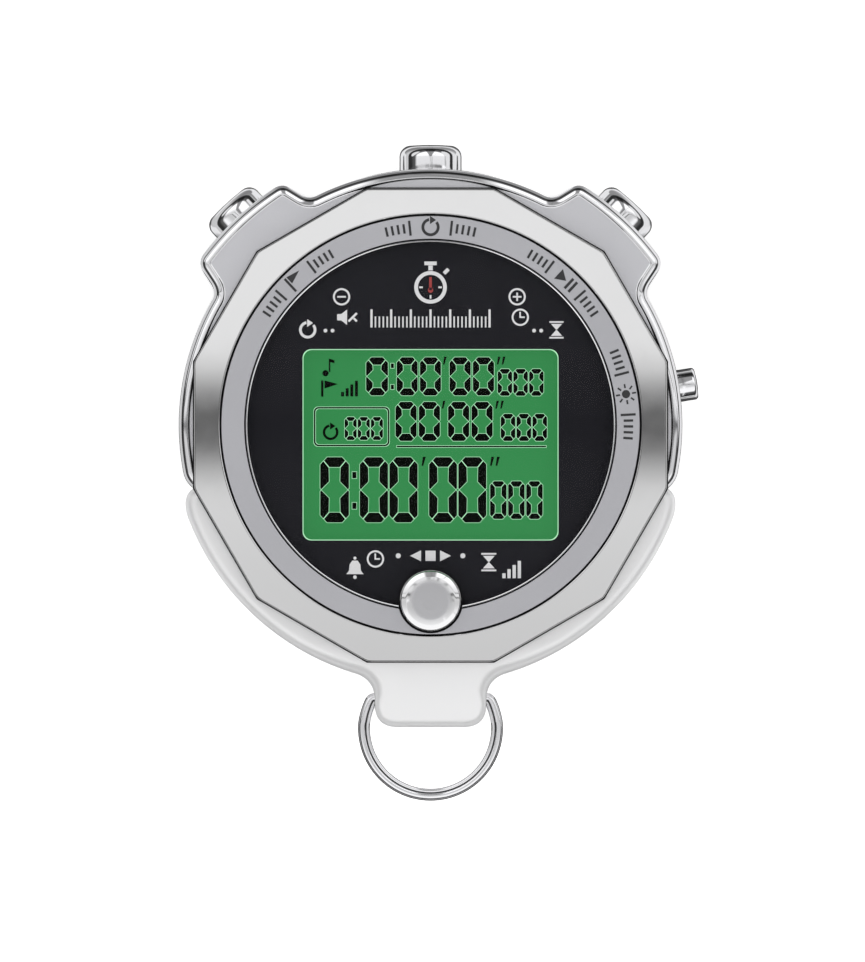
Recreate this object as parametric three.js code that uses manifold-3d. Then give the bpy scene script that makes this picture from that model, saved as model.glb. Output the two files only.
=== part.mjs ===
// Hand-held digital stopwatch in a metal case.
//
// Millimetres. The origin is the centre of the back cover's outer face, on the axis of the case.
// +Z points out of the dial, +Y points to the 12 o'clock pusher. The case lies on its back.
// Angles named "clock" are degrees clockwise from 12 o'clock, seen from the front.

import * as THREE from 'three';
import { mergeVertices } from 'three/addons/utils/BufferGeometryUtils.js';
import Module from 'manifold-3d';

const wasm = await Module();
wasm.setup();

// ---------- driving dimensions ----------

// Case
const CASE_BACK_Z = 0.3;
const CASE_FRONT_Z = 16.4;
const CASE_MIDDLE_Z = (CASE_BACK_Z + CASE_FRONT_Z) / 2;
const TOP_RADIUS = 32.6;
const SIDE_RADIUS = 32.0;
const CUP_RADIUS = 33.0;
const CUP_FROM_CLOCK = 105;
const CUP_EDGE_ROUNDING = 3.2;
const CASE_EDGE_ROUNDING = 1.2;
const SHOULDER_RADIUS = 36.1;
const SHOULDER_CLOCK = { valleyIn: 28.2, cornerIn: 31.4, cornerOut: 55.2, valleyOut: 58.2 };
const VALLEY_LEAD = 1.8;
const CORNER_LEAD = 2.0;
const FLANK = { start: 0.3, end: 0.7 };
const CAVITY_RADIUS = 28.3;
const FRONT_OPENING_RADIUS = 27.2;
const BOARD_STEP_Z = 11.65;
const BACK_SEAT_RADIUS = 29.35;
const GASKET_SEAT_Z = 2.0;
const GAP = 0.1;

// Lug and bail
const LUG_HALF_WIDTH = 7.1;
const LUG_END_Y = -38.4;
const LUG_THICKNESS = 9.6;
const LUG_CORNER = 1.9;
const LUG_EDGE_ROUNDING = 1.2;
const LUG_FLARE_CLOCK = 4.8;
const BAIL_BORE_LENGTH = 20;
const BAIL_PIVOT_Y = -35.0;
const BAIL_CENTRE_Y = -38.6;
const BAIL_RADIUS = 8.5;
const WIRE_RADIUS = 0.7;

// Bezel, ring, lens and display
const BEZEL_APOTHEM = 30.0;
const BEZEL_SIDES = 12;
const BEZEL_FRONT_Z = 19.4;
const BEZEL_CHAMFER = 0.3;
const SEAL = { innerApothem: 29.2, outerApothem: 30.2, frontZ: 17.0 };
const SPIGOT_RADIUS = 26.95;
const SPIGOT_BACK_Z = 15.6;
const LEDGE_RADIUS = 22.6;
const LEDGE_Z = 16.9;
const RING_OUTER_RADIUS = 26.6;
const RING_INNER_RADIUS = 23.65;
const RING_FRONT_Z = 19.1;
const LENS_RADIUS = 23.5;
const LENS_FRONT_Z = 18.95;
const DIAL_THICKNESS = 0.4;
const WINDOW = { width: 32.5, height: 24.3, centreY: -2.5, cornerRadius: 1.1 };
const LCD = { width: 35.4, height: 31.0, backZ: 13.5, frontZ: 15.3 };

// Board and what is on it
const BOARD_RADIUS = 27.9;
const BOARD_BACK_Z = 10.4;
const BOARD_FRONT_Z = 11.55;
const BATTERY = { radius: 10, height: 3.2, backZ: 3.3, y: -7 };
const BUZZER = { radius: 8, y: 14.2, thickness: 0.3 };
const EAR_PLACES = [[21, 10], [-21, 10], [21, -13], [-21, -13]];
const EAR_RADIUS = 2.2;
const CHIP = { x: 15.5, y: -6 };
const CRYSTAL = { radius: 1, length: 6, x: -16.5, y: -4 };
const SOUND_SPRING_X = 2.6;

// Back
const COVER_RADIUS = 29.1;
const COVER_THICKNESS = 1.35;
const BACK_SCREW_CIRCLE = 26.6;
const BACK_SCREW_CLOCKS = [62, 118, 242, 298];
const PILLAR = { radius: 2.1, frontZ: 9.0, holeRadius: 0.85, holeDepthZ: 5.4 };
const COUNTERSINK = [[0, -0.5], [1.85, -0.5], [1.85, 0.2], [1.0, 1.05], [1.0, 3], [0, 3]];

// Pushers. Distances are measured along each pusher's axis, from the axis of the case,
// or from the back for the mode button.
const PUSHER_Z = 7.7;
const STEM_RADIUS = 1.5;
const PUSHERS = [
  { name: 'recall', clock: 0, radius: 3.95, face: 35.7, seat: 30.2, stemEnd: 25.4, travel: 0.8 },
  { name: 'start', clock: 42.5, radius: 3.95, face: 38.4, seat: 32.9, stemEnd: 25.4, travel: 0.8 },
  { name: 'lap', clock: -42.5, radius: 3.95, face: 38.4, seat: 32.9, stemEnd: 25.4, travel: 0.8 },
  { name: 'light', clock: 81, radius: 2.05, face: 34.4, seat: 29.4, stemEnd: 25.4, travel: 0.6 },
];
const MODE = { name: 'mode', radius: 3.95, face: 21.0, seat: LEDGE_Z, stemEnd: 14.4, travel: 0.6 };
const MODE_Y = -22.3;
const MODE_LOBE_RADIUS = 5.0;
const MODE_OPENING_RADIUS = 4.2;
const RING_NOTCH_RADIUS = 4.6;
const PUSHER_CLEARANCE = 0.25;
const STEM_BORE_RADIUS = 2.1;

// Cutters pass through everything between these heights.
const BELOW_ALL = -10;
const ABOVE_ALL = 30;

// Facets around a full circle
const FINE = 48;
const MEDIUM = 24;
const COARSE = 16;
const SMALL = 10;

// ---------- materials ----------

function material(name, color, metalness, roughness) {
  return new THREE.MeshStandardMaterial({ name, color, metalness, roughness });
}

const polishedChrome = () => material('polished_chrome', 0xd9d9dc, 1.0, 0.12);
const satinChrome = () => material('satin_chrome', 0xb4b4b9, 1.0, 0.38);
const brushedSteel = () => material('brushed_steel', 0xb9babd, 1.0, 0.32);
const springSteel = () => material('spring_steel', 0x9a9a9e, 1.0, 0.3);
const clearAcrylic = () => material('clear_acrylic', 0xeef2f2, 0.0, 0.05);
const blackPrint = () => material('black_print', 0x1e1e23, 0.0, 0.35);
const displayGreen = () => material('display_green', 0x3a8f50, 0.0, 0.25);
const whitePlastic = () => material('white_plastic', 0xe6e6e0, 0.0, 0.5);
const blackPlastic = () => material('black_plastic', 0x222224, 0.0, 0.5);
const blackRubber = () => material('black_rubber', 0x18181a, 0.0, 0.8);
const boardGreen = () => material('board_green', 0x1f5a38, 0.0, 0.45);
const brass = () => material('brass', 0xc9a552, 1.0, 0.3);
const cellSteel = () => material('cell_steel', 0xc4c6c8, 1.0, 0.22);

// ---------- geometry helpers ----------

// Turns a closed three.js geometry into a solid that can be joined and cut.
function solid(geometry) {
  const bare = geometry.clone();
  bare.deleteAttribute('normal');
  bare.deleteAttribute('uv');
  const merged = mergeVertices(bare, 1e-4);
  return new wasm.Manifold(new wasm.Mesh({
    numProp: 3,
    vertProperties: new Float32Array(merged.attributes.position.array),
    triVerts: new Uint32Array(merged.index.array),
  }));
}

function geometryOf(manifold) {
  const mesh = manifold.getMesh();
  const geometry = new THREE.BufferGeometry();
  geometry.setAttribute('position', new THREE.BufferAttribute(mesh.vertProperties, 3));
  geometry.setIndex(new THREE.BufferAttribute(mesh.triVerts, 1));
  geometry.computeVertexNormals();
  return geometry;
}

function cut(geometry, ...cutters) {
  return geometryOf(cutters.reduce((body, cutter) => body.subtract(solid(cutter)), solid(geometry)));
}

function join(geometry, ...others) {
  return geometryOf(others.reduce((body, other) => body.add(solid(other)), solid(geometry)));
}

// Revolves [radius, z] pairs about the Z axis. The profile runs from low z to high z on its outside.
function revolve(profile, segments) {
  const points = profile.map(([radius, z]) => new THREE.Vector2(radius, z));
  return new THREE.LatheGeometry(points, segments).rotateX(Math.PI / 2);
}

function disc(radius, z0, z1, segments = MEDIUM) {
  return revolve([[0, z0], [radius, z0], [radius, z1], [0, z1]], segments);
}

function washer(inner, outer, z0, z1, segments = MEDIUM) {
  return revolve([[inner, z0], [outer, z0], [outer, z1], [inner, z1], [inner, z0]], segments);
}

function box(width, height, z0, z1, x = 0, y = 0) {
  return new THREE.BoxGeometry(width, height, z1 - z0).translate(x, y, (z0 + z1) / 2);
}

// Extrudes a shape from z0 to z1. A rounding keeps the outline and rounds both edges inside it.
function slab(shape, z0, z1, rounding = 0, steps = 2) {
  return new THREE.ExtrudeGeometry(shape, {
    depth: z1 - z0 - 2 * rounding,
    bevelEnabled: rounding > 0,
    bevelSize: rounding,
    bevelOffset: -rounding,
    bevelThickness: rounding,
    bevelSegments: steps,
    curveSegments: 6,
  }).translate(0, 0, z0 + rounding);
}

function roundedRectangle(width, height, radius, centreY) {
  const [x, y] = [width / 2, height / 2];
  const shape = new THREE.Shape();
  shape.absarc(x - radius, centreY + y - radius, radius, 0, Math.PI / 2);
  shape.absarc(-x + radius, centreY + y - radius, radius, Math.PI / 2, Math.PI);
  shape.absarc(-x + radius, centreY - y + radius, radius, Math.PI, 1.5 * Math.PI);
  shape.absarc(x - radius, centreY - y + radius, radius, 1.5 * Math.PI, 2 * Math.PI);
  return shape;
}

function regularPolygon(apothem, sides) {
  const cornerRadius = apothem / Math.cos(Math.PI / sides);
  const corners = Array.from({ length: sides }, (_, i) => {
    const angle = (2 * Math.PI * (i + 0.5)) / sides;
    return new THREE.Vector2(cornerRadius * Math.cos(angle), cornerRadius * Math.sin(angle));
  });
  return new THREE.Shape(corners);
}

// A point at a radius and a clock angle.
function at(radius, clock) {
  const angle = THREE.MathUtils.degToRad(clock);
  return new THREE.Vector2(radius * Math.sin(angle), radius * Math.cos(angle));
}

// Continues a path along the circle of the case from one clock angle to another.
function arcTo(path, radius, fromClock, toClock) {
  const toAngle = (clock) => THREE.MathUtils.degToRad(90 - clock);
  path.absarc(0, 0, radius, toAngle(fromClock), toAngle(toClock), true);
}

// Rounds the corner at `corner` on the way to `end`.
function roundTo(path, corner, end) {
  path.quadraticCurveTo(corner.x, corner.y, end.x, end.y);
}

function lineTo(path, point) {
  path.lineTo(point.x, point.y);
}

// Closes a right-hand half outline, from top to bottom, with its mirror image.
function mirroredShape(half, divisions) {
  const right = half.getPoints(divisions);
  const left = right.slice(1, -1).reverse().map((point) => new THREE.Vector2(-point.x, point.y));
  return new THREE.Shape([...right, ...left]);
}

// An open helix about the Z axis, from z0 to z1.
class Helix extends THREE.Curve {
  constructor(radius, z0, z1, turns) {
    super();
    Object.assign(this, { radius, z0, z1, turns });
  }

  getPoint(t, target = new THREE.Vector3()) {
    const angle = 2 * Math.PI * this.turns * t;
    const z = this.z0 + (this.z1 - this.z0) * t;
    return target.set(this.radius * Math.cos(angle), this.radius * Math.sin(angle), z);
  }
}

function circleShape(radius) {
  return new THREE.Shape().absarc(0, 0, radius, 0, 2 * Math.PI);
}

function coilSpring(radius, wireRadius, z0, z1, turns) {
  const path = new Helix(radius, z0 + wireRadius, z1 - wireRadius, turns);
  return new THREE.ExtrudeGeometry(regularPolygon(wireRadius, 5), { extrudePath: path, steps: turns * 7 });
}

// ---------- case ----------

// Top, shoulders and sides. The lower half stays inside the cup, which forms it.
function upperOutline() {
  const { valleyIn, cornerIn, cornerOut, valleyOut } = SHOULDER_CLOCK;
  const insideCup = CUP_RADIUS - CUP_EDGE_ROUNDING - 0.2;
  const half = new THREE.Path();
  const [flatFrom, flatTo] = [cornerIn + CORNER_LEAD, cornerOut - CORNER_LEAD];
  const sideFrom = valleyOut + VALLEY_LEAD;
  arcTo(half, TOP_RADIUS, 0, valleyIn - VALLEY_LEAD);
  climb(half, at(TOP_RADIUS, valleyIn), at(SHOULDER_RADIUS, cornerIn), at(SHOULDER_RADIUS, flatFrom));
  arcTo(half, SHOULDER_RADIUS, flatFrom, flatTo);
  climb(half, at(SHOULDER_RADIUS, cornerOut), at(SIDE_RADIUS, valleyOut), at(SIDE_RADIUS, sideFrom));
  arcTo(half, SIDE_RADIUS, sideFrom, CUP_FROM_CLOCK + 1);
  lineTo(half, at(insideCup, CUP_FROM_CLOCK + 3));
  arcTo(half, insideCup, CUP_FROM_CLOCK + 3, 180);
  return mirroredShape(half, 3);
}

// Follows a shoulder's flank between two rounded corners and ends past the second one.
function climb(path, firstCorner, secondCorner, end) {
  roundTo(path, firstCorner, firstCorner.clone().lerp(secondCorner, FLANK.start));
  lineTo(path, firstCorner.clone().lerp(secondCorner, FLANK.end));
  roundTo(path, secondCorner, end);
}

// The lower bowl of the case: a deep disc with a large front rounding, kept only below its top line.
function lowerCup() {
  const edgeSteps = 4;
  const profile = [[0, CASE_BACK_Z], [CUP_RADIUS - CASE_EDGE_ROUNDING, CASE_BACK_Z]];
  profile.push([CUP_RADIUS - 0.35, CASE_BACK_Z + 0.35], [CUP_RADIUS, CASE_BACK_Z + CASE_EDGE_ROUNDING]);
  for (let i = 0; i <= edgeSteps; i += 1) {
    const angle = (i / edgeSteps) * (Math.PI / 2);
    profile.push([
      CUP_RADIUS - CUP_EDGE_ROUNDING * (1 - Math.cos(angle)),
      CASE_FRONT_Z - CUP_EDGE_ROUNDING * (1 - Math.sin(angle)),
    ]);
  }
  profile.push([0, CASE_FRONT_Z]);
  const reach = 3 * CUP_RADIUS;
  const topLineY = at(CUP_RADIUS, CUP_FROM_CLOCK).y;
  const below = box(reach, reach, BELOW_ALL, ABOVE_ALL, 0, topLineY - reach / 2);
  return geometryOf(solid(revolve(profile, FINE)).intersect(solid(below)));
}

// The lug's root spreads into the cup and its lower corners are round.
function lugOutline() {
  const rootClock = 180 - THREE.MathUtils.radToDeg(Math.asin(LUG_HALF_WIDTH / CUP_RADIUS));
  const buried = at(CUP_RADIUS - 0.6, rootClock - 3 * LUG_FLARE_CLOCK);
  const startY = buried.y + 5;
  const half = new THREE.Path();
  half.moveTo(0, startY);
  half.lineTo(buried.x, startY);
  lineTo(half, buried);
  lineTo(half, at(CUP_RADIUS, rootClock - LUG_FLARE_CLOCK));
  roundTo(half, at(CUP_RADIUS, rootClock), new THREE.Vector2(LUG_HALF_WIDTH, BAIL_PIVOT_Y));
  half.lineTo(LUG_HALF_WIDTH, LUG_END_Y + LUG_CORNER);
  const corner = new THREE.Vector2(LUG_HALF_WIDTH, LUG_END_Y);
  roundTo(half, corner, new THREE.Vector2(LUG_HALF_WIDTH - LUG_CORNER, LUG_END_Y));
  half.lineTo(0, LUG_END_Y);
  return mirroredShape(half, 3);
}

function lug() {
  const half = LUG_THICKNESS / 2;
  return slab(lugOutline(), CASE_MIDDLE_Z - half, CASE_MIDDLE_Z + half, LUG_EDGE_ROUNDING);
}

// The stepped hollow: back cover seat, movement cavity and front opening.
function cavity() {
  return revolve([
    [0, BELOW_ALL], [BACK_SEAT_RADIUS, BELOW_ALL], [BACK_SEAT_RADIUS, GASKET_SEAT_Z],
    [CAVITY_RADIUS, GASKET_SEAT_Z], [CAVITY_RADIUS, BOARD_STEP_Z],
    [FRONT_OPENING_RADIUS, BOARD_STEP_Z], [FRONT_OPENING_RADIUS, ABOVE_ALL], [0, ABOVE_ALL],
  ], FINE);
}

// Maps a pusher's own frame, +Z outwards along its axis, to the case.
function radialFrame(clock) {
  return new THREE.Matrix4()
    .makeTranslation(0, 0, PUSHER_Z)
    .multiply(new THREE.Matrix4().makeRotationZ(-THREE.MathUtils.degToRad(clock)))
    .multiply(new THREE.Matrix4().makeRotationX(-Math.PI / 2));
}

// The wide bore for the cap and, behind it, the narrow bore for the stem.
function pusherBore({ clock, radius, seat }) {
  const capBore = radius + PUSHER_CLEARANCE;
  const stemBore = stemBoreRadius({ radius });
  const from = CAVITY_RADIUS - 4;
  const to = SHOULDER_RADIUS + 6;
  return revolve([
    [0, from], [stemBore, from], [stemBore, seat], [capBore, seat], [capBore, to], [0, to],
  ], COARSE).applyMatrix4(radialFrame(clock));
}

function bailPivotBore() {
  return new THREE.CylinderGeometry(WIRE_RADIUS + GAP, WIRE_RADIUS + GAP, BAIL_BORE_LENGTH, COARSE)
    .rotateZ(Math.PI / 2)
    .translate(0, BAIL_PIVOT_Y, CASE_MIDDLE_Z);
}

// Pillars on the cavity wall that take the back screws.
function screwPillar(clock) {
  const { x, y } = at(BACK_SCREW_CIRCLE, clock);
  return disc(PILLAR.radius, GASKET_SEAT_Z, PILLAR.frontZ, SMALL).translate(x, y, 0);
}

function screwPillarHole(clock) {
  const { x, y } = at(BACK_SCREW_CIRCLE, clock);
  return disc(PILLAR.holeRadius, 0, PILLAR.holeDepthZ, SMALL).translate(x, y, 0);
}

function caseBody() {
  const shell = join(
    slab(upperOutline(), CASE_BACK_Z, CASE_FRONT_Z, CASE_EDGE_ROUNDING),
    lowerCup(),
    lug(),
  );
  const hollow = cut(shell, cavity());
  const withPillars = join(hollow, ...BACK_SCREW_CLOCKS.map(screwPillar));
  return cut(
    withPillars,
    ...PUSHERS.map(pusherBore),
    ...BACK_SCREW_CLOCKS.map(screwPillarHole),
    bailPivotBore(),
  );
}

// ---------- front ----------

function modeBore(radius, z0 = BELOW_ALL, z1 = ABOVE_ALL) {
  return disc(radius, z0, z1, MEDIUM).translate(0, MODE_Y, 0);
}

function polygonSlab(apothem, z0, z1) {
  return slab(regularPolygon(apothem, BEZEL_SIDES), z0, z1);
}

// A cone with the bezel's sides that takes the sharp edge off its front.
function chamferCone() {
  const height = 5;
  const cornerRadius = (apothem) => apothem / Math.cos(Math.PI / BEZEL_SIDES);
  const front = cornerRadius(BEZEL_APOTHEM - BEZEL_CHAMFER);
  const back = cornerRadius(BEZEL_APOTHEM - BEZEL_CHAMFER + height);
  return new THREE.CylinderGeometry(front, back, height, BEZEL_SIDES)
    .rotateX(Math.PI / 2)
    .rotateZ(Math.PI / BEZEL_SIDES)
    .translate(0, 0, BEZEL_FRONT_Z - height / 2);
}

// Twelve-sided plate with a round spigot behind it, a seat for the ring, a ledge under the lens
// and a step for the seal. The ledge has a lobe that carries the mode button's stem.
function bezel() {
  const stepZ = SEAL.frontZ + 0.05;
  const plate = join(
    polygonSlab(SEAL.innerApothem - GAP, CASE_FRONT_Z + 0.02, stepZ),
    polygonSlab(BEZEL_APOTHEM, stepZ, BEZEL_FRONT_Z),
  );
  const chamfered = geometryOf(solid(plate).intersect(solid(chamferCone())));
  const open = cut(
    join(chamfered, disc(SPIGOT_RADIUS, SPIGOT_BACK_Z, CASE_FRONT_Z + 0.5, FINE)),
    disc(RING_OUTER_RADIUS + 0.15, LEDGE_Z, ABOVE_ALL, FINE),
    disc(LEDGE_RADIUS, BELOW_ALL, ABOVE_ALL, FINE),
  );
  const insideSpigot = solid(disc(SPIGOT_RADIUS - 1, BELOW_ALL, ABOVE_ALL, FINE));
  const round = solid(modeBore(MODE_LOBE_RADIUS, SPIGOT_BACK_Z, LEDGE_Z));
  const lobe = geometryOf(round.intersect(insideSpigot));
  return cut(join(open, lobe), modeBore(STEM_BORE_RADIUS));
}

// A flat rubber ring with the bezel's sides that shows as a thin line around it.
function bezelSeal() {
  return cut(
    polygonSlab(SEAL.outerApothem, CASE_FRONT_Z + 0.02, SEAL.frontZ),
    polygonSlab(SEAL.innerApothem, BELOW_ALL, ABOVE_ALL),
  );
}

function dialRing() {
  const innerFrontZ = LENS_FRONT_Z + 0.02;
  const ring = revolve([
    [RING_INNER_RADIUS, LEDGE_Z + 0.05], [RING_OUTER_RADIUS, LEDGE_Z + 0.05],
    [RING_OUTER_RADIUS, RING_FRONT_Z - 0.12], [RING_OUTER_RADIUS - 0.12, RING_FRONT_Z],
    [RING_INNER_RADIUS, innerFrontZ], [RING_INNER_RADIUS, LEDGE_Z + 0.05],
  ], FINE);
  return cut(ring, modeBore(RING_NOTCH_RADIUS));
}

function dialPlate() {
  const plate = disc(LENS_RADIUS, LEDGE_Z + 0.05, LEDGE_Z + DIAL_THICKNESS, FINE);
  const outline = roundedRectangle(WINDOW.width, WINDOW.height, WINDOW.cornerRadius, WINDOW.centreY);
  return cut(plate, slab(outline, BELOW_ALL, ABOVE_ALL), modeBore(MODE_OPENING_RADIUS));
}

function lens() {
  const backZ = LEDGE_Z + DIAL_THICKNESS + 0.05;
  const profile = [[0, backZ], [LENS_RADIUS, backZ], [LENS_RADIUS, LENS_FRONT_Z - 0.2]];
  profile.push([LENS_RADIUS - 0.2, LENS_FRONT_Z], [0, LENS_FRONT_Z]);
  return cut(revolve(profile, FINE), modeBore(MODE_OPENING_RADIUS));
}

// ---------- display stack and board ----------

const STRIP = { length: 33, width: 1.6, offset: 14.2 };
const PANEL = { width: 33.4, height: 25.2 };
const LED = { width: 0.8, length: 4, x: 17.25 };

function lcdGlass() {
  return box(LCD.width, LCD.height, LCD.backZ, LCD.frontZ, 0, WINDOW.centreY);
}

function backlightPanel() {
  return box(PANEL.width, PANEL.height, BOARD_FRONT_Z + 0.25, LCD.backZ - GAP, 0, WINDOW.centreY);
}

function zebraStrip(side) {
  const y = WINDOW.centreY + side * STRIP.offset;
  return box(STRIP.length, STRIP.width, BOARD_FRONT_Z + 0.05, LCD.backZ - 0.05, 0, y);
}

// A hole through everything, a little larger than a flat part centred at (x, y).
function pocket(width, height, x = 0, y = WINDOW.centreY, fromZ = BELOW_ALL) {
  return box(width + 0.2, height + 0.2, fromZ, ABOVE_ALL, x, y);
}

// A shallow tray with a lip around the glass, windows for the panel and the strips, and four ears.
function lcdFrame() {
  const { width, height, backZ, frontZ } = LCD;
  const bottom = BOARD_FRONT_Z + 0.05;
  const tray = box(width + 1.6, height + 1.6, bottom, frontZ - 0.1, 0, WINDOW.centreY);
  const ears = EAR_PLACES.map(([x, y]) => disc(EAR_RADIUS, bottom, backZ, SMALL).translate(x, y, 0));
  const webs = EAR_PLACES.map(([x, y]) => box(4, 3, bottom, backZ, x - Math.sign(x) * 2, y));
  return cut(
    join(tray, ...ears, ...webs),
    pocket(width, height, 0, WINDOW.centreY, backZ - 0.05),
    pocket(PANEL.width, PANEL.height),
    pocket(STRIP.length, STRIP.width, 0, WINDOW.centreY + STRIP.offset),
    pocket(STRIP.length, STRIP.width, 0, WINDOW.centreY - STRIP.offset),
    pocket(LED.width, LED.length, LED.x),
    ...EAR_PLACES.map(([x, y]) => disc(PILLAR.holeRadius, BELOW_ALL, backZ - 0.5, SMALL).translate(x, y, 0)),
  );
}

function circuitBoard() {
  return cut(
    disc(BOARD_RADIUS, BOARD_BACK_Z, BOARD_FRONT_Z, FINE),
    ...EAR_PLACES.map(([x, y]) => disc(1.0, BELOW_ALL, ABOVE_ALL, SMALL).translate(x, y, 0)),
  );
}

// The chip sits under a low dome of black resin.
function controllerChip() {
  const profile = [[0, -1.3], [1.6, -1.15], [2.9, -0.7], [3.6, -GAP], [0, -GAP]];
  return revolve(profile, COARSE).translate(CHIP.x, CHIP.y, BOARD_BACK_Z);
}

function quartzCrystal() {
  const { radius, length, x, y } = CRYSTAL;
  return new THREE.CylinderGeometry(radius, radius, length, SMALL)
    .rotateZ(Math.PI / 2)
    .translate(x, y, BOARD_BACK_Z - radius - GAP);
}

// The lamp stands beside the panel and shines into its edge.
function backlightLed() {
  return box(LED.width, LED.length, BOARD_FRONT_Z + 0.05, LCD.backZ - 0.3, LED.x, WINDOW.centreY);
}

// ---------- power and sound ----------

function coinCell() {
  const { radius, height, backZ, y } = BATTERY;
  return revolve([
    [0, backZ], [radius - 0.3, backZ], [radius, backZ + 0.3], [radius, backZ + height - 0.5],
    [radius - 1.1, backZ + height - 0.4], [radius - 1.2, backZ + height], [0, backZ + height],
  ], MEDIUM).translate(0, y, 0);
}

// A cup that opens to the back, with a floor under the cell and a wall up to the board.
function batteryHolder() {
  const { radius, height, backZ, y } = BATTERY;
  const floorZ = backZ + height + 0.1;
  const inner = radius + 0.3;
  const outer = radius + 1.3;
  const ring = washer(inner, outer, backZ + 0.4, BOARD_BACK_Z - 0.05, MEDIUM);
  const floor = washer(4, inner + 0.2, floorZ, floorZ + 0.8, MEDIUM);
  return cut(join(ring, floor).translate(0, y, 0), box(5.6, 6, 0, BOARD_BACK_Z, 0, y - radius - 1));
}

// A bent strip that lies under the cell and climbs past its edge to the board.
function batteryContact() {
  const { radius, backZ, y } = BATTERY;
  const thickness = 0.25;
  const [low, high] = [backZ - 0.1, BOARD_BACK_Z - 0.05];
  const [inner, outer] = [y + 3, y - radius - 0.9];
  const strip = new THREE.Shape([
    [inner, low], [inner, low - thickness], [outer - thickness, low - thickness],
    [outer - thickness, high], [outer, high], [outer, low],
  ].map(([along, z]) => new THREE.Vector2(along, z)));
  return new THREE.ExtrudeGeometry(strip, { depth: 5, bevelEnabled: false })
    .rotateX(Math.PI / 2)
    .rotateZ(Math.PI / 2)
    .translate(-2.5, 0, 0);
}

function buzzerDisc() {
  const z = COVER_THICKNESS + 0.05;
  const { radius, thickness, y } = BUZZER;
  return revolve([
    [0, z], [radius, z], [radius, z + thickness], [radius - 2, z + thickness],
    [radius - 2, z + thickness + 0.2], [0, z + thickness + 0.2],
  ], MEDIUM).translate(0, y, 0);
}

function buzzerSpring(x) {
  const bottom = COVER_THICKNESS + BUZZER.thickness + 0.35;
  return coilSpring(0.75, 0.18, bottom, BOARD_BACK_Z - 0.1, 4).translate(x, BUZZER.y, 0);
}

// ---------- back ----------

// A flat disc with a bevelled outer edge and countersunk holes.
function backCover() {
  const bevel = 0.4;
  const plate = revolve([
    [0, 0], [COVER_RADIUS - bevel, 0], [COVER_RADIUS, bevel],
    [COVER_RADIUS, COVER_THICKNESS], [0, COVER_THICKNESS],
  ], FINE);
  const countersinks = BACK_SCREW_CLOCKS.map((clock) => {
    const { x, y } = at(BACK_SCREW_CIRCLE, clock);
    return revolve(COUNTERSINK, SMALL).translate(x, y, 0);
  });
  return cut(plate, ...countersinks);
}

function backGasket() {
  const [inner, outer] = [CAVITY_RADIUS + 0.05, BACK_SEAT_RADIUS - 0.2];
  return washer(inner, outer, COVER_THICKNESS + 0.05, GASKET_SEAT_Z - 0.05, FINE);
}

// A cross recess cut into a screw head that faces -Z at height z.
function crossRecess(z, length) {
  return [box(length, 0.35, z - 1, z + 0.35), box(0.35, length, z - 1, z + 0.35)];
}

function backScrew(clock) {
  const { x, y } = at(BACK_SCREW_CIRCLE, clock);
  const screw = revolve([
    [0, 0.08], [1.7, 0.08], [1.7, 0.2], [0.75, 1.12], [0.75, 4.8], [0.3, 5.2], [0, 5.2],
  ], SMALL);
  return cut(screw, ...crossRecess(0.08, 1.8)).translate(x, y, 0);
}

function boardScrew([x, y]) {
  const head = BOARD_BACK_Z - 0.05;
  const screw = revolve([
    [0, head - 0.9], [1.2, head - 0.9], [1.6, head - 0.5], [1.6, head], [0.7, head], [0.7, 12.6], [0, 12.6],
  ], SMALL);
  return cut(screw, ...crossRecess(head - 0.9, 1.6)).translate(x, y, 0);
}

// ---------- pushers ----------

// Every piece of a pusher is made in the pusher's own frame, +Z outwards along its axis.

function isLarge({ radius }) {
  return radius > 3;
}

function stemRadius({ radius }) {
  return Math.min(STEM_RADIUS, radius - 1.15);
}

function stemBoreRadius({ radius }) {
  return stemRadius({ radius }) + (STEM_BORE_RADIUS - STEM_RADIUS);
}

// The underside of the cap stops this far above the floor of its bore.
function capUnderside(pusher) {
  return pusher.seat + pusher.travel + (isLarge(pusher) ? 0.25 : 0.9);
}

function springSeat(pusher) {
  return isLarge(pusher) ? pusher.face - 1.6 : capUnderside(pusher);
}

// Cap and stem in one. Large caps are hollow below for the spring. The stem has two grooves,
// one in its bore for the seal and one behind the wall for the clip.
function pusherButton(pusher, wallBack) {
  const { radius, face, stemEnd } = pusher;
  const stem = stemRadius(pusher);
  const under = capUnderside(pusher);
  const seatZ = springSeat(pusher);
  const sealZ = sealPlace(pusher, wallBack);
  const clipZ = clipPlace(pusher, wallBack);
  const profile = [
    [0, stemEnd], [stem, stemEnd], [stem, clipZ - 0.3], [stem - 0.4, clipZ - 0.3], [stem - 0.4, clipZ + 0.3],
    [stem, clipZ + 0.3], [stem, sealZ - 0.5], [stem - 0.35, sealZ - 0.5], [stem - 0.35, sealZ + 0.5],
    [stem, sealZ + 0.5], [stem, seatZ],
  ];
  if (isLarge(pusher)) {
    profile.push([radius - 0.8, seatZ], [radius - 0.8, under]);
  }
  profile.push([radius, under], [radius, face - 0.7], [radius - 0.2, face - 0.2], [radius - 0.7, face]);
  profile.push([0, face]);
  return revolve(profile, COARSE);
}

function sealPlace(pusher, wallBack) {
  return (wallBack + pusher.seat) / 2;
}

function clipPlace(pusher, wallBack) {
  return wallBack - 0.55;
}

function pusherSeal(pusher, wallBack) {
  const section = 0.38;
  const ring = stemRadius(pusher) + 0.08;
  return new THREE.TorusGeometry(ring, section, 5, 14).translate(0, 0, sealPlace(pusher, wallBack));
}

function pusherClip(pusher, wallBack) {
  const z = clipPlace(pusher, wallBack);
  const stem = stemRadius(pusher);
  return washer(stem - 0.3, stem + 1.05, z - 0.2, z + 0.2, COARSE);
}

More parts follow.
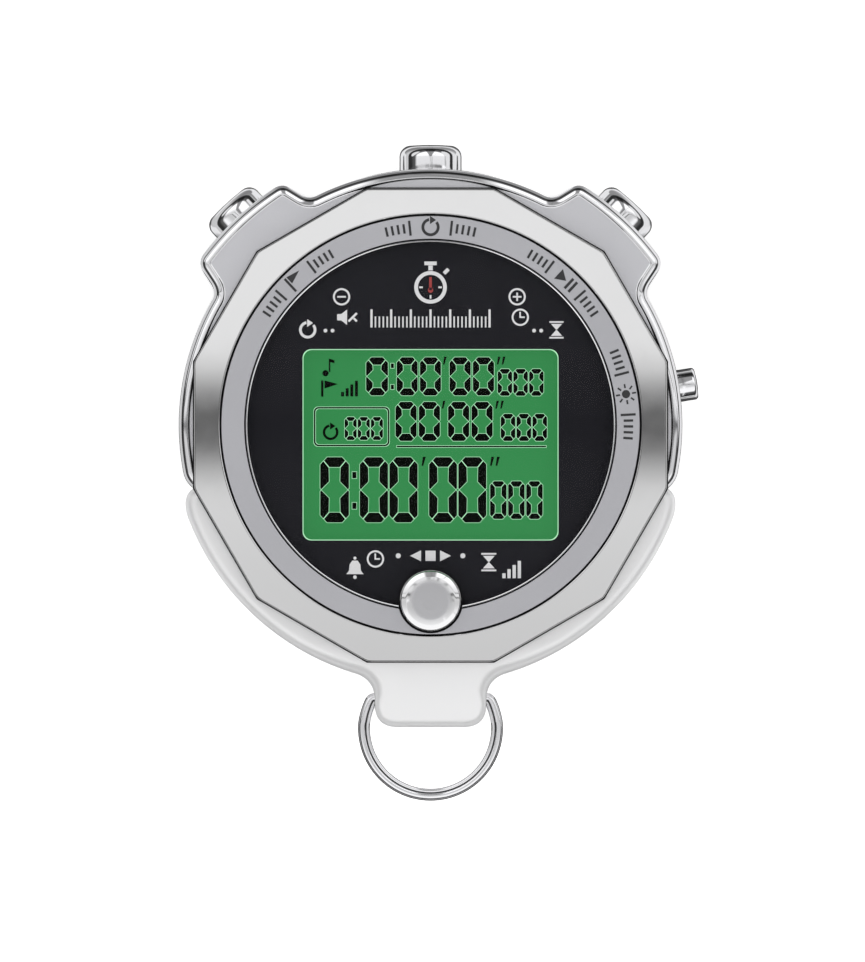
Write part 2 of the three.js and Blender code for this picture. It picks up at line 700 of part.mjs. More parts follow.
function pusherSpring(pusher) {
  const wire = isLarge(pusher) ? 0.22 : 0.12;
  const coil = isLarge(pusher) ? 2.5 : 1.75;
  const turns = isLarge(pusher) ? 3 : 2;
  return coilSpring(coil, wire, pusher.seat + 0.05, springSeat(pusher) - 0.05, turns);
}

// A tact switch whose plunger meets the stem at the end of its travel. Its body reaches the board.
function tactSwitch(pusher) {
  const top = pusher.stemEnd - pusher.travel - 0.05;
  const depth = pusher === MODE ? top - 0.8 - BOARD_FRONT_Z - 0.05 : 2.8;
  const toBoard = BOARD_BACK_Z - 0.05 - PUSHER_Z;
  const body = box(6, 4.4, top - 0.8 - depth, top - 0.8, 0, 2.2 - toBoard);
  return join(body, disc(1.3, top - 1, top, SMALL));
}

// ---------- bail ----------

// A wire ring whose ends bend inwards into the lug.
function bailRing() {
  const point = (x, y) => new THREE.Vector3(x, y, CASE_MIDDLE_Z);
  const inLug = LUG_HALF_WIDTH - 1.9;
  const ends = [[inLug, 0], [inLug + 1.4, 0], [inLug + 2.35, -0.12]];
  const steps = 12;
  const start = 6;
  const points = ends.map(([x, y]) => point(x, BAIL_PIVOT_Y + y));
  for (let i = 0; i <= steps; i += 1) {
    const turn = THREE.MathUtils.degToRad(start - ((180 + 2 * start) * i) / steps);
    points.push(point(BAIL_RADIUS * Math.cos(turn), BAIL_CENTRE_Y + BAIL_RADIUS * Math.sin(turn)));
  }
  points.push(...ends.reverse().map(([x, y]) => point(-x, BAIL_PIVOT_Y + y)));
  const path = new THREE.CatmullRomCurve3(points);
  const options = { extrudePath: path, steps: 40, curveSegments: 4 };
  return new THREE.ExtrudeGeometry(circleShape(WIRE_RADIUS), options);
}

// ---------- assembly ----------

const stopwatch = new THREE.Group();
stopwatch.name = 'stopwatch';

function add(parent, name, geometry, look) {
  const mesh = new THREE.Mesh(geometry, look());
  mesh.name = name;
  parent.add(mesh);
}

function addPusher(frame, pusher, wallBack) {
  const group = new THREE.Group();
  group.applyMatrix4(frame);
  stopwatch.add(group);
  add(group, `${pusher.name}_button`, pusherButton(pusher, wallBack), polishedChrome);
  add(group, `${pusher.name}_spring`, pusherSpring(pusher), springSteel);
  add(group, `${pusher.name}_seal`, pusherSeal(pusher, wallBack), blackRubber);
  add(group, `${pusher.name}_clip`, pusherClip(pusher, wallBack), springSteel);
  add(group, `${pusher.name}_switch`, tactSwitch(pusher), blackPlastic);
}

add(stopwatch, 'case_body', caseBody(), polishedChrome);
add(stopwatch, 'bezel', bezel(), satinChrome);
add(stopwatch, 'bezel_seal', bezelSeal(), blackRubber);
add(stopwatch, 'dial_ring', dialRing(), satinChrome);
add(stopwatch, 'dial_plate', dialPlate(), blackPrint);
add(stopwatch, 'lens', lens(), clearAcrylic);
add(stopwatch, 'lcd_glass', lcdGlass(), displayGreen);
add(stopwatch, 'lcd_frame', lcdFrame(), whitePlastic);
add(stopwatch, 'backlight_panel', backlightPanel(), whitePlastic);
add(stopwatch, 'backlight_led', backlightLed(), displayGreen);
add(stopwatch, 'zebra_strip_upper', zebraStrip(1), blackRubber);
add(stopwatch, 'zebra_strip_lower', zebraStrip(-1), blackRubber);
add(stopwatch, 'circuit_board', circuitBoard(), boardGreen);
add(stopwatch, 'controller_chip', controllerChip(), blackPlastic);
add(stopwatch, 'quartz_crystal', quartzCrystal(), cellSteel);
add(stopwatch, 'coin_cell', coinCell(), cellSteel);
add(stopwatch, 'battery_holder', batteryHolder(), blackPlastic);
add(stopwatch, 'battery_contact', batteryContact(), springSteel);
add(stopwatch, 'buzzer_disc', buzzerDisc(), brass);
add(stopwatch, 'buzzer_spring_left', buzzerSpring(-SOUND_SPRING_X), springSteel);
add(stopwatch, 'buzzer_spring_right', buzzerSpring(SOUND_SPRING_X), springSteel);
add(stopwatch, 'back_gasket', backGasket(), blackRubber);
add(stopwatch, 'back_cover', backCover(), brushedSteel);
BACK_SCREW_CLOCKS.forEach((clock, i) => add(stopwatch, `back_screw_${i + 1}`, backScrew(clock), cellSteel));
EAR_PLACES.forEach((place, i) => add(stopwatch, `board_screw_${i + 1}`, boardScrew(place), cellSteel));
PUSHERS.forEach((pusher) => addPusher(radialFrame(pusher.clock), pusher, CAVITY_RADIUS));
addPusher(new THREE.Matrix4().makeTranslation(0, MODE_Y, 0), MODE, SPIGOT_BACK_Z);
add(stopwatch, 'bail_ring', bailRing(), polishedChrome);

export default stopwatch;
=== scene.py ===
"""Looks of a hand-held digital stopwatch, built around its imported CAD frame.

Lengths in the builders below are millimetres, and MM turns them into metres. The frame gives the places:
+Z points out of the dial, +Y to the 12 o'clock pusher, and the origin is on the back cover.
Angles named "clock" are degrees clockwise from 12 o'clock, seen from the front.
"""

import math

import bmesh
import bpy
import numpy as np
from mathutils import Matrix, Vector


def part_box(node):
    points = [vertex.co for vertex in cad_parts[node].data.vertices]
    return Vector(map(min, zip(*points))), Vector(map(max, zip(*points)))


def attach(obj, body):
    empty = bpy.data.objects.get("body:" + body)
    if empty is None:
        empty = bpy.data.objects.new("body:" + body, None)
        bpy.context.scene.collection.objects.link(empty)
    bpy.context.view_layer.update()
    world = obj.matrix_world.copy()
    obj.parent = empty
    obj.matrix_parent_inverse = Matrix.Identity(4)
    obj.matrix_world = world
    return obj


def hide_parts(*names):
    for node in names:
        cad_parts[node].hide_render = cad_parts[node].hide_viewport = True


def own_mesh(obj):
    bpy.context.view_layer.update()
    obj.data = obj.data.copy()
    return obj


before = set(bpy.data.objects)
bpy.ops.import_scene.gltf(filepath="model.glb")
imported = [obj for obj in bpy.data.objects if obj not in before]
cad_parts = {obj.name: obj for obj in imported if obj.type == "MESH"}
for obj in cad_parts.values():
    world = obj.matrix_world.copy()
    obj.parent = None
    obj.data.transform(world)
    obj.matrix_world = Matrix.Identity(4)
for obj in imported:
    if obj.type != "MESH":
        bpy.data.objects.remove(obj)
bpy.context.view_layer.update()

MM = 0.001


def box_mm(node):
    """Lowest and highest corner of a CAD node, in millimetres."""
    low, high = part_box(node)
    return low / MM, high / MM


# ---------- sizes, read from the frame or driving the shapes ----------

CASE_LOW, CASE_HIGH = box_mm("case_body")
BACK_Z, FRONT_Z = CASE_LOW.z, CASE_HIGH.z
LUG_END_Y = CASE_LOW.y
CUP_RADIUS = 33.0
TOP_RADIUS = 32.6
SIDE_RADIUS = 32.0
SHOULDER_RADIUS = 36.1
VALLEY_IN, CORNER_IN, CORNER_OUT, VALLEY_OUT = 28.2, 31.4, 55.2, 58.2
CUP_FROM_CLOCK = 105.0
CUP_FULL_CLOCK = 111.0
# The pearl finish and its rounding start this many degrees before the cup does.
CUP_BLEND = 0.1
NOTCH_RADIUS = 31.2
VALLEY_LEAD = 1.8
CORNER_LEAD = 2.0
FLANK_START, FLANK_END = 0.3, 0.7
EDGE_ROUNDING = 1.2
RIM_STEP = 0.16
CUP_ROUNDING = 1.5
LUG_HALF_WIDTH = 7.1
LUG_FLARE = 4.8
BAIL_PIVOT_Y = -35.0
BAIL_Z = (BACK_Z + FRONT_Z) / 2
BAIL_CENTRE_Y, BAIL_RADIUS = -38.6, 8.45
LUG_CORNER = 2.9
LUG_ROUNDING = 0.9
LUG_DROP = 3.0
LUG_BACK_DROP = 3.2
# Where the lug's slopes and its smaller rounding set in, as distances below the middle.
LUG_ROUNDING_FROM, LUG_ROUNDING_TO = 33.6, 36.0
LUG_SLOPE_FROM, LUG_SLOPE_KNEE = 27.5, 31.5
LUG_BACK_FROM, LUG_BACK_TO = 30.5, 35.0
OPENING_RADIUS = 27.2
CAVITY_RADIUS = 28.3
BACK_SEAT_RADIUS = 29.35
BACK_SEAT_Z = 2.0
BOARD_STEP_Z = 11.65

BEZEL_LOW, BEZEL_HIGH = box_mm("bezel")
BEZEL_APOTHEM = BEZEL_HIGH.y
SEAL_TOP = 17.05
# How far the black seal shows past the bezel: a line of painted shade.
SEAL_SHOWS = 0.19
BEZEL_FOOT_Z = FRONT_Z + 0.02
LEDGE_RADIUS = 22.6
LEDGE_TOP = 16.9
SPIGOT_RADIUS = 26.95
RING_LOW, RING_HIGH = box_mm("dial_ring")
RING_OUTER = RING_HIGH.x
RING_INNER = 23.65
LENS_LOW, LENS_HIGH = box_mm("lens")
LENS_RADIUS = LENS_HIGH.x
DIAL_LOW, DIAL_HIGH = box_mm("dial_plate")
LCD_LOW, LCD_HIGH = box_mm("lcd_glass")
WINDOW_WIDTH, WINDOW_HEIGHT, WINDOW_Y, WINDOW_CORNER = 32.5, 24.3, -2.5, 1.1
_, COVER_HIGH = box_mm("back_cover")
MODE_LOW, MODE_HIGH = box_mm("mode_button")
MODE_Y = (MODE_LOW.y + MODE_HIGH.y) / 2
MODE_PLACE = Matrix.Translation((0, MODE_Y, 0))
MODE_CAP_RADIUS = 3.82
MODE_UNDERSIDE = 17.75
MODE_STEM_LOW = 14.4
MODE_OPENING = 4.1
MODE_STEM_BORE = 2.1
MODE_LOBE_RADIUS = 4.6
RING_NOTCH = 4.14
SLEEVE_LOW, SLEEVE_HIGH = 17.4, 18.75

PUSHER_Z = 7.7
LARGE_CAP_RADIUS = 3.95
LIGHT_CAP_RADIUS = 2.05
BORE_CLEARANCE = 0.25
STEM_LOW = 25.4

# name: clock angle, cap radius, outer face, underside of the cap, floor of the bore
PUSHERS = {
    "recall": (0.0, LARGE_CAP_RADIUS, 35.7, 31.25, 30.2),
    "start": (42.5, LARGE_CAP_RADIUS, 38.4, 33.95, 32.9),
    "lap": (-42.5, LARGE_CAP_RADIUS, 38.4, 33.95, 32.9),
    "light": (81.0, LIGHT_CAP_RADIUS, 34.4, 30.9, 29.4),
}

ROUND = 192
SMALL_ROUND = 64
CAP_ROUND = 128
# Cutters reach from well below what they cut to well above it.
CUT_LOW, CUT_HIGH = 10, 25


def is_large(cap_radius):
    return cap_radius > 3


# ---------- plane geometry ----------


def at(radius, clock):
    angle = math.radians(clock)
    return Vector((radius * math.sin(angle), radius * math.cos(angle)))


def arc(radius, from_clock, to_clock, spacing):
    """Points along a circle about the origin, in clock angles."""
    count = max(2, round(abs(math.radians(to_clock - from_clock)) * radius / spacing))
    return [at(radius, from_clock + (to_clock - from_clock) * i / count) for i in range(count + 1)]


def corner_curve(start, corner, end, spacing):
    """A quadratic curve that rounds a corner."""
    count = max(3, round(((corner - start).length + (end - corner).length) / spacing))
    points = []
    for i in range(count + 1):
        t = i / count
        points.append(start * (1 - t) ** 2 + corner * 2 * t * (1 - t) + end * t * t)
    return points


def line(start, end, spacing):
    count = max(1, round((end - start).length / spacing))
    return [start.lerp(end, i / count) for i in range(count + 1)]


def chain(*stretches):
    """Joins stretches of points, dropping the doubled point where two meet."""
    points = list(stretches[0])
    for stretch in stretches[1:]:
        skip = 1 if (Vector(stretch[0]) - Vector(points[-1])).length < 1e-6 else 0
        points.extend(stretch[skip:])
    return points


def fillet(points, steps=5, closed=False):
    """Rounds the corners of a polyline. Each point is (x, y) or (x, y, radius)."""
    count = len(points)
    rounded = []
    for i, point in enumerate(points):
        here = Vector(point[:2])
        radius = point[2] if len(point) > 2 else 0
        at_end = not closed and i in (0, count - 1)
        if radius == 0 or at_end:
            rounded.append(here)
            continue
        before = Vector(points[i - 1][:2])
        after = Vector(points[(i + 1) % count][:2])
        to_before = (before - here).normalized()
        to_after = (after - here).normalized()
        half = to_before.angle(to_after) / 2
        reach = min(radius / math.tan(half), (before - here).length * 0.49, (after - here).length * 0.49)
        radius = reach * math.tan(half)
        centre = here + (to_before + to_after).normalized() * (radius / math.sin(half))
        start = here + to_before * reach - centre
        turn = start.angle_signed(here + to_after * reach - centre)
        for k in range(steps + 1):
            rounded.append(centre + Matrix.Rotation(-turn * k / steps, 2) @ start)
    return rounded


# ---------- mesh helpers ----------


def mesh_object(name, vertices, faces, sharp=35):
    """A smooth-shaded closed object from millimetre coordinates, keeping edges over `sharp` degrees."""
    mesh = bpy.data.meshes.new(name)
    mesh.from_pydata([tuple(Vector(v) * MM) for v in vertices], [], faces)
    mesh.validate()
    mesh.shade_smooth()
    mesh.set_sharp_from_angle(angle=math.radians(sharp))
    face_outward(mesh)
    return linked(name, mesh)


def linked(name, data):
    """An object of some data, linked to the scene."""
    made = bpy.data.objects.new(name, data)
    bpy.context.scene.collection.objects.link(made)
    return made


def face_outward(mesh, merge=0.0):
    """Turns every face of a closed mesh to point out, after merging points closer than a distance."""
    work = bmesh.new()
    work.from_mesh(mesh)
    if merge:
        bmesh.ops.remove_doubles(work, verts=work.verts, dist=merge)
    bmesh.ops.recalc_face_normals(work, faces=work.faces)
    work.to_mesh(mesh)
    work.free()


def grid_object(name, rows, sharp=35):
    """A closed surface from rows of points, each row a loop and the last row joined to the first."""
    width, height = len(rows[0]), len(rows)
    faces = []
    for j in range(height):
        below, above = j * width, ((j + 1) % height) * width
        for i in range(width):
            k = (i + 1) % width
            faces.append((below + i, below + k, above + k, above + i))
    return mesh_object(name, [point for row in rows for point in row], faces, sharp)


def lathe(name, profile, segments=ROUND, sharp=35):
    """Revolves (radius, z) points about Z. The profile starts and ends on the axis or closes on itself."""
    vertices, rings = [], []
    for radius, z in profile:
        if radius < 1e-6:
            rings.append([len(vertices)])
            vertices.append((0, 0, z))
            continue
        first = len(vertices)
        rings.append(list(range(first, first + segments)))
        for i in range(segments):
            angle = 2 * math.pi * i / segments
            vertices.append((radius * math.cos(angle), radius * math.sin(angle), z))
    on_axis = len(rings[0]) == 1
    faces = []
    for low, high in zip(rings, rings[1:] + ([] if on_axis else rings[:1])):
        for i in range(segments):
            k = (i + 1) % segments
            corners = [low[i % len(low)], low[k % len(low)], high[k % len(high)], high[i % len(high)]]
            faces.append(tuple(dict.fromkeys(corners)))
    return mesh_object(name, vertices, faces, sharp)


def section(inner, outer, low, high):
    """A rectangle of (radius, z) points to revolve: a disc if the inner radius is 0, or else a sleeve."""
    return [(inner, low), (outer, low), (outer, high), (inner, high)]


def prisms(name, loops, z0, z1):
    """Closed outlines, each extruded between two heights, as one mesh."""
    vertices, faces = [], []
    for loop in loops:
        first, count = len(vertices), len(loop)
        vertices += [(x, y, z0) for x, y in loop] + [(x, y, z1) for x, y in loop]
        faces.append(tuple(reversed(range(first, first + count))))
        faces.append(tuple(range(first + count, first + 2 * count)))
        for i in range(count):
            k = (i + 1) % count
            faces.append((first + i, first + k, first + count + k, first + count + i))
    return mesh_object(name, vertices, faces)


def place(made, matrix):
    """Moves a piece's mesh by a matrix whose translation is in millimetres."""
    scaled = matrix.copy()
    scaled.translation *= MM
    made.data.transform(scaled)
    return made


def keep_modifiers(made):
    """Replaces the mesh by what its modifiers make of it."""
    evaluated = made.evaluated_get(bpy.context.evaluated_depsgraph_get())
    mesh = bpy.data.meshes.new_from_object(evaluated)
    made.modifiers.clear()
    made.data = mesh


def cut(made, cutters, sharp=35):
    """Cuts solids out of a piece and removes them."""
    for cutter in cutters:
        modifier = made.modifiers.new("cut", "BOOLEAN")
        modifier.operation = "DIFFERENCE"
        modifier.solver = "EXACT"
        modifier.object = cutter
    keep_modifiers(made)
    for cutter in cutters:
        bpy.data.objects.remove(cutter)
    made.data.set_sharp_from_angle(angle=math.radians(sharp))


def even_normals(made):
    """Keeps large flat faces flat in shading, beside their small rounded edges."""
    modifier = made.modifiers.new("even_normals", "WEIGHTED_NORMAL")
    modifier.keep_sharp = True
    modifier.weight = 50


def finish_piece(made, body, looks, slot, *replaced):
    """Gives a piece its materials by name, its CAD body and the CAD nodes it stands for. The slot is not
    used.
    """
    for look in looks.split():
        made.data.materials.append(MATERIALS[look])
    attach(made, body)
    if replaced:
        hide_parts(*replaced)


def paint_second(made, chosen):
    """Gives a piece's second material to the faces whose middle, in millimetres, is chosen."""
    for polygon in made.data.polygons:
        if chosen(polygon.center / MM):
            polygon.material_index = 1


def radial_matrix(clock):
    """Maps a pusher's own frame, +Z outwards along its axis, to the case."""
    lift = Matrix.Translation((0, 0, PUSHER_Z))
    return lift @ Matrix.Rotation(-math.radians(clock), 4, "Z") @ Matrix.Rotation(-math.pi / 2, 4, "X")


# ---------- materials ----------

EVEN = (1, 1, 1)


class Nodes:
    """A short way to add and wire nodes. A value is a number, a tuple or another node's output."""

    def __init__(self, tree):
        self.tree = tree

    def fill(self, sockets, values):
        """Sets each named socket to its value, or links it."""
        for name, value in values.items():
            if isinstance(value, bpy.types.NodeSocket):
                self.tree.links.new(value, sockets[name])
            else:
                sockets[name].default_value = value

    def add(self, kind, values, **settings):
        node = self.tree.nodes.new("ShaderNode" + kind)
        for name, setting in settings.items():
            setattr(node, name, setting)
        self.fill(node.inputs, values)
        return node

    def math(self, operation, *values):
        return self.add("Math", dict(enumerate(values)), operation=operation).outputs[0]

    def map(self, value, low, high, to_low=0.0, to_high=1.0, smooth=False):
        ends = {"Value": value, "From Min": low, "From Max": high, "To Min": to_low, "To Max": to_high}
        kind = "SMOOTHSTEP" if smooth else "LINEAR"
        return self.add("MapRange", ends, interpolation_type=kind).outputs["Result"]

    def coordinate(self, name="Object"):
        return self.add("TexCoord", {}).outputs[name]

    def noise(self, scale, detail=2.0, stretch=EVEN):
        """Object-space noise, with its scale per metre, stretched along axes."""
        mapping = self.add("Mapping", {"Vector": self.coordinate(), "Scale": stretch})
        texture = self.add("TexNoise", {"Vector": mapping.outputs[0], "Scale": scale, "Detail": detail})
        return texture.outputs["Fac"]

    def tint(self, share, dark, light):
        """Moves from one colour to another as the share goes from 0 to 1."""
        ends = {"Factor": share, "A": (*dark, 1), "B": (*light, 1)}
        return self.add("Mix", ends, data_type="RGBA").outputs["Result"]

    def bump(self, height, depth):
        """A normal from a height whose full range is a depth in millimetres."""
        return self.add("Bump", {"Height": height, "Distance": depth * MM, "Strength": 1.0}).outputs[0]

    def levels(self, value, stops):
        """A grey level read from (position, level) stops."""
        low, high = stops[0][0], stops[-1][0]
        node = self.add("ValToRGB", {"Fac": self.map(value, low, high)})
        elements = node.color_ramp.elements
        while len(elements) < len(stops):
            elements.new(0.5)
        for element, (position, level) in zip(elements, stops):
            element.position = (position - low) / (high - low)
            element.color = (level, level, level, 1)
        return node.outputs["Color"]

    def mix(self, share, first, second):
        """Moves from the first value to the second as the share goes from 0 to 1."""
        return self.math("ADD", first, self.math("MULTIPLY", share, self.math("SUBTRACT", second, first)))

    def square_sum(self, first, second):
        return self.math("ADD", self.math("MULTIPLY", first, first), self.math("MULTIPLY", second, second))


# Noise stays mostly between these two values.
NOISE_LOW, NOISE_HIGH = 0.3, 0.7


def new_material(name):
    """A material, its nodes and its shader's inputs."""
    material = bpy.data.materials.new(name)
    material.use_nodes = True
    return material, Nodes(material.node_tree), material.node_tree.nodes["Principled BSDF"].inputs


def metal(name, dark, light, rough, grain_scale, stretch=EVEN, grain_depth=0.0, metallic=1.0):
    """Metal with a faint cloud in its colour and a grain in its roughness, which may be cut into it too."""
    material, nodes, shader = new_material(name)
    grain = nodes.noise(grain_scale, 3.0, stretch)
    nodes.fill(shader, {
        "Metallic": metallic,
        "Base Color": nodes.tint(nodes.noise(60.0), dark, light),
        "Roughness": nodes.map(grain, NOISE_LOW, NOISE_HIGH, *rough),
    })
    if grain_depth:
        nodes.fill(shader, {"Normal": nodes.bump(grain, grain_depth)})
    return material


def plain(name, dark, light, rough, grain_scale, grain_depth=0.0, specular=0.5):
    """Plastic, rubber or print with one grain in its colour and roughness."""
    material, nodes, shader = new_material(name)
    grain = nodes.noise(grain_scale, 4.0)
    nodes.fill(shader, {
        "Specular IOR Level": specular,
        "Base Color": nodes.tint(grain, dark, light),
        "Roughness": nodes.map(grain, NOISE_LOW, NOISE_HIGH, *rough),
    })
    if grain_depth:
        nodes.fill(shader, {"Normal": nodes.bump(grain, grain_depth)})
    return material


def lit_green(name, dark, light, strength):
    """A backlit green layer with a little cloud in it."""
    material, nodes, shader = new_material(name)
    cloud = nodes.noise(25.0, 1.0)
    nodes.fill(shader, {
        "Emission Color": nodes.tint(cloud, dark, light),
        "Emission Strength": strength,
        "Base Color": nodes.tint(cloud, (0.006, 0.06, 0.018), (0.008, 0.07, 0.022)),
        "Roughness": 0.5,
        "Specular IOR Level": 0.03,
    })
    return material


def lens_material(name, face_on, edge_on):
    """Clear acrylic as a thin film: it mirrors more as the surface turns away, with faint dust."""
    material, nodes, shader = new_material(name)
    turned = nodes.math("POWER", nodes.add("LayerWeight", {}).outputs["Facing"], 5.0)
    nodes.fill(shader, {
        "Alpha": nodes.map(turned, 0.0, 1.0, face_on, edge_on),
        "Base Color": nodes.tint(nodes.noise(900.0), (0.80, 0.82, 0.84), (0.90, 0.91, 0.92)),
        "Metallic": 1.0,
        "Roughness": 0.03,
    })
    return material


def button_material():
    """Satin in the middle of the front button, polished towards its rim, and darker in colour in the middle
    as painted shade.
    """
    material, nodes, shader = new_material("button_chrome")
    flat = nodes.add("VectorMath", {0: nodes.coordinate(), 1: (1, 1, 0)}, operation="MULTIPLY").outputs[0]
    middle = (0, MODE_Y * MM, 0)
    reach = nodes.add("VectorMath", {0: flat, 1: middle}, operation="DISTANCE").outputs["Value"]
    share = nodes.map(reach, 2.0 * MM, 3.2 * MM, smooth=True)
    nodes.fill(shader, {
        "Metallic": 1.0,
        # The darker colour towards the middle is painted shade; the change in roughness is the satin and the
        # polish.
        "Base Color": nodes.tint(share, (0.61, 0.61, 0.63), (0.88, 0.88, 0.89)),
        "Roughness": nodes.map(share, NOISE_LOW, NOISE_HIGH, 0.24, 0.07),
        "Normal": nodes.bump(nodes.noise(3000.0, 3.0), 0.001),
    })
    return material


# name, dark, light, roughness, grain scale, then any stretch, grain depth or metallic share
METALS = {
    "chrome": ("polished_chrome", (0.84, 0.84, 0.86), (0.90, 0.90, 0.92), (0.05, 0.09), 400.0),
    "bezel": ("bezel_chrome", (0.86, 0.86, 0.865), (0.90, 0.90, 0.905), (0.035, 0.055), 500.0),
    "satin": ("case_satin", (0.67, 0.67, 0.70), (0.73, 0.73, 0.76), (0.36, 0.46), 4000.0, EVEN, 0.004),
    "pearl": ("cup_pearl", (0.93, 0.93, 0.935), (0.95, 0.95, 0.955), (0.34, 0.38), 300.0, EVEN, 0.0, 0.35),
    "ring": ("ring_satin", (0.54, 0.54, 0.57), (0.60, 0.60, 0.63), (0.30, 0.42), 5000.0, EVEN, 0.003),
    "back": ("brushed_steel", (0.60, 0.60, 0.62), (0.68, 0.68, 0.70), (0.22, 0.42), 700.0, (1, 30, 1), 0.006),
    "cell": ("nickel_plate", (0.62, 0.62, 0.63), (0.72, 0.72, 0.73), (0.15, 0.28), 900.0),
    "spring": ("spring_steel", (0.40, 0.40, 0.42), (0.52, 0.52, 0.54), (0.22, 0.36), 2000.0),
    "brass": ("brass", (0.58, 0.40, 0.13), (0.68, 0.48, 0.18), (0.2, 0.34), 1500.0),
    "lens_edge": ("lens_edge", (0.80, 0.81, 0.82), (0.90, 0.90, 0.91), (0.15, 0.25), 900.0),
}
# name, dark, light, roughness, grain scale, then any grain depth and specular level
PLAINS = {
    "black": ("dial_black", (0.012, 0.012, 0.016), (0.016, 0.016, 0.020), (0.4, 0.5), 2500.0, 0.0, 0.03),
    "mark": ("printed_white", (0.74, 0.74, 0.75), (0.84, 0.84, 0.85), (0.45, 0.6), 3000.0),
    # The dark of the ring's cut signs, also used as painted shade on the bezel's inner walls and in the
    # bail's groove.
    "engraved": ("engraving_and_painted_shade_black", (0.012, 0.012, 0.014), (0.03, 0.03, 0.034), (0.4, 0.6), 3000.0),
    "red_mark": ("printed_red", (0.34, 0.015, 0.012), (0.44, 0.025, 0.02), (0.45, 0.6), 3000.0),
    "segment": ("segment_black", (0.001, 0.002, 0.001), (0.002, 0.004, 0.002), (0.35, 0.5), 2500, 0, 0.02),
    "white_plastic": ("white_plastic", (0.70, 0.70, 0.66), (0.78, 0.78, 0.74), (0.45, 0.6), 1500.0, 0.01),
    "black_plastic": ("black_plastic", (0.014, 0.014, 0.015), (0.026, 0.026, 0.028), (0.45, 0.65), 1500,
                      0.01),
    # Black of the seal round the bezel and of the sleeve round the front button, both made dark as painted
    # shade.
    "seal": ("seal_and_painted_shade_black", (0.004, 0.004, 0.005), (0.008, 0.008, 0.009), (0.5, 0.7), 2500.0, 0.0, 0.1),
    "rubber": ("black_rubber", (0.012, 0.012, 0.012), (0.022, 0.022, 0.022), (0.7, 0.9), 2500.0, 0.01),
    "board": ("solder_mask_green", (0.012, 0.10, 0.04), (0.02, 0.14, 0.06), (0.3, 0.45), 800.0, 0.01),
    "lamp": ("lamp_lens", (0.20, 0.65, 0.30), (0.28, 0.78, 0.38), (0.2, 0.3), 900.0),
}
MATERIALS = {key: metal(*look) for key, look in METALS.items()}
MATERIALS.update({key: plain(*look) for key, look in PLAINS.items()})
MATERIALS.update({
    "button": button_material(),
    "halo": lit_green("segment_edge_green", (0.42, 0.82, 0.50), (0.52, 0.90, 0.60), 1.0),
    "display": lit_green("display_green", (0.036, 0.262, 0.074), (0.048, 0.29, 0.088), 0.72),
    "lens": lens_material("lens_clear", 0.003, 0.7),
})


# ---------- case ----------

SPACING = 0.22
RIM_DEPTH = 1.15
RIM_STEPS = 9
FLAT_STEPS = 12
SIDE_STEPS = 8
# The ridge between the satin front and the polished rim: its width, then (share of it, height) of its steps.
RIDGE = 0.3
RIDGE_STEPS = ((0.35, 0.08), (0.6, 0.45), (0.8, 0.88), (1.0, 1.0))
# More than any edge's rounding.
FAR_INSIDE = 9.0


def flank(first, second, end):
    """A shoulder's flank between two rounded corners, ending past the second one."""
    lead_off = first.lerp(second, FLANK_START)
    lead_on = first.lerp(second, FLANK_END)
    return line(lead_off, lead_on, SPACING), corner_curve(lead_on, second, end, SPACING)


def right_half_outline():
    """The case outline from 12 o'clock down the right side to the middle of the lug."""
    flat_from, flat_to = CORNER_IN + CORNER_LEAD, CORNER_OUT - CORNER_LEAD
    side_from = VALLEY_OUT + VALLEY_LEAD
    valley_in, corner_in = at(TOP_RADIUS, VALLEY_IN), at(SHOULDER_RADIUS, CORNER_IN)
    corner_out, valley_out = at(SHOULDER_RADIUS, CORNER_OUT), at(SIDE_RADIUS, VALLEY_OUT)
    top_end, flat_end = at(TOP_RADIUS, VALLEY_IN - VALLEY_LEAD), at(SHOULDER_RADIUS, flat_to)
    cup_start = CUP_FROM_CLOCK - 4
    root_clock = 180 - math.degrees(math.asin(LUG_HALF_WIDTH / CUP_RADIUS))
    root = at(CUP_RADIUS, root_clock - LUG_FLARE)
    lug_side = Vector((LUG_HALF_WIDTH, BAIL_PIVOT_Y))
    lug_low = Vector((LUG_HALF_WIDTH, LUG_END_Y + LUG_CORNER))
    lug_base = Vector((LUG_HALF_WIDTH - LUG_CORNER, LUG_END_Y))
    notch = at(NOTCH_RADIUS, CUP_FROM_CLOCK)
    return chain(
        arc(TOP_RADIUS, 0, VALLEY_IN - VALLEY_LEAD, SPACING),
        corner_curve(top_end, valley_in, valley_in.lerp(corner_in, FLANK_START), SPACING),
        *flank(valley_in, corner_in, at(SHOULDER_RADIUS, flat_from)),
        arc(SHOULDER_RADIUS, flat_from, flat_to, SPACING),
        corner_curve(flat_end, corner_out, corner_out.lerp(valley_out, FLANK_START), SPACING),
        *flank(corner_out, valley_out, at(SIDE_RADIUS, side_from)),
        arc(SIDE_RADIUS, side_from, cup_start, SPACING),
        corner_curve(at(SIDE_RADIUS, cup_start), at(SIDE_RADIUS, cup_start + 2), notch, SPACING),
        corner_curve(notch, at(CUP_RADIUS, CUP_FROM_CLOCK + 0.9), at(CUP_RADIUS, CUP_FULL_CLOCK), SPACING),
        arc(CUP_RADIUS, CUP_FULL_CLOCK, root_clock - LUG_FLARE, SPACING),
        corner_curve(root, at(CUP_RADIUS, root_clock), lug_side, SPACING),
        line(lug_side, lug_low, SPACING),
        corner_curve(lug_low, Vector((LUG_HALF_WIDTH, LUG_END_Y)), lug_base, SPACING),
        line(lug_base, Vector((0, LUG_END_Y)), SPACING),
    )


def clock_of(x, y):
    return np.degrees(np.arctan2(np.abs(x), y))


def smooth_share(value, low, high):
    share = np.clip((value - low) / (high - low), 0, 1)
    return share * share * (3 - 2 * share)


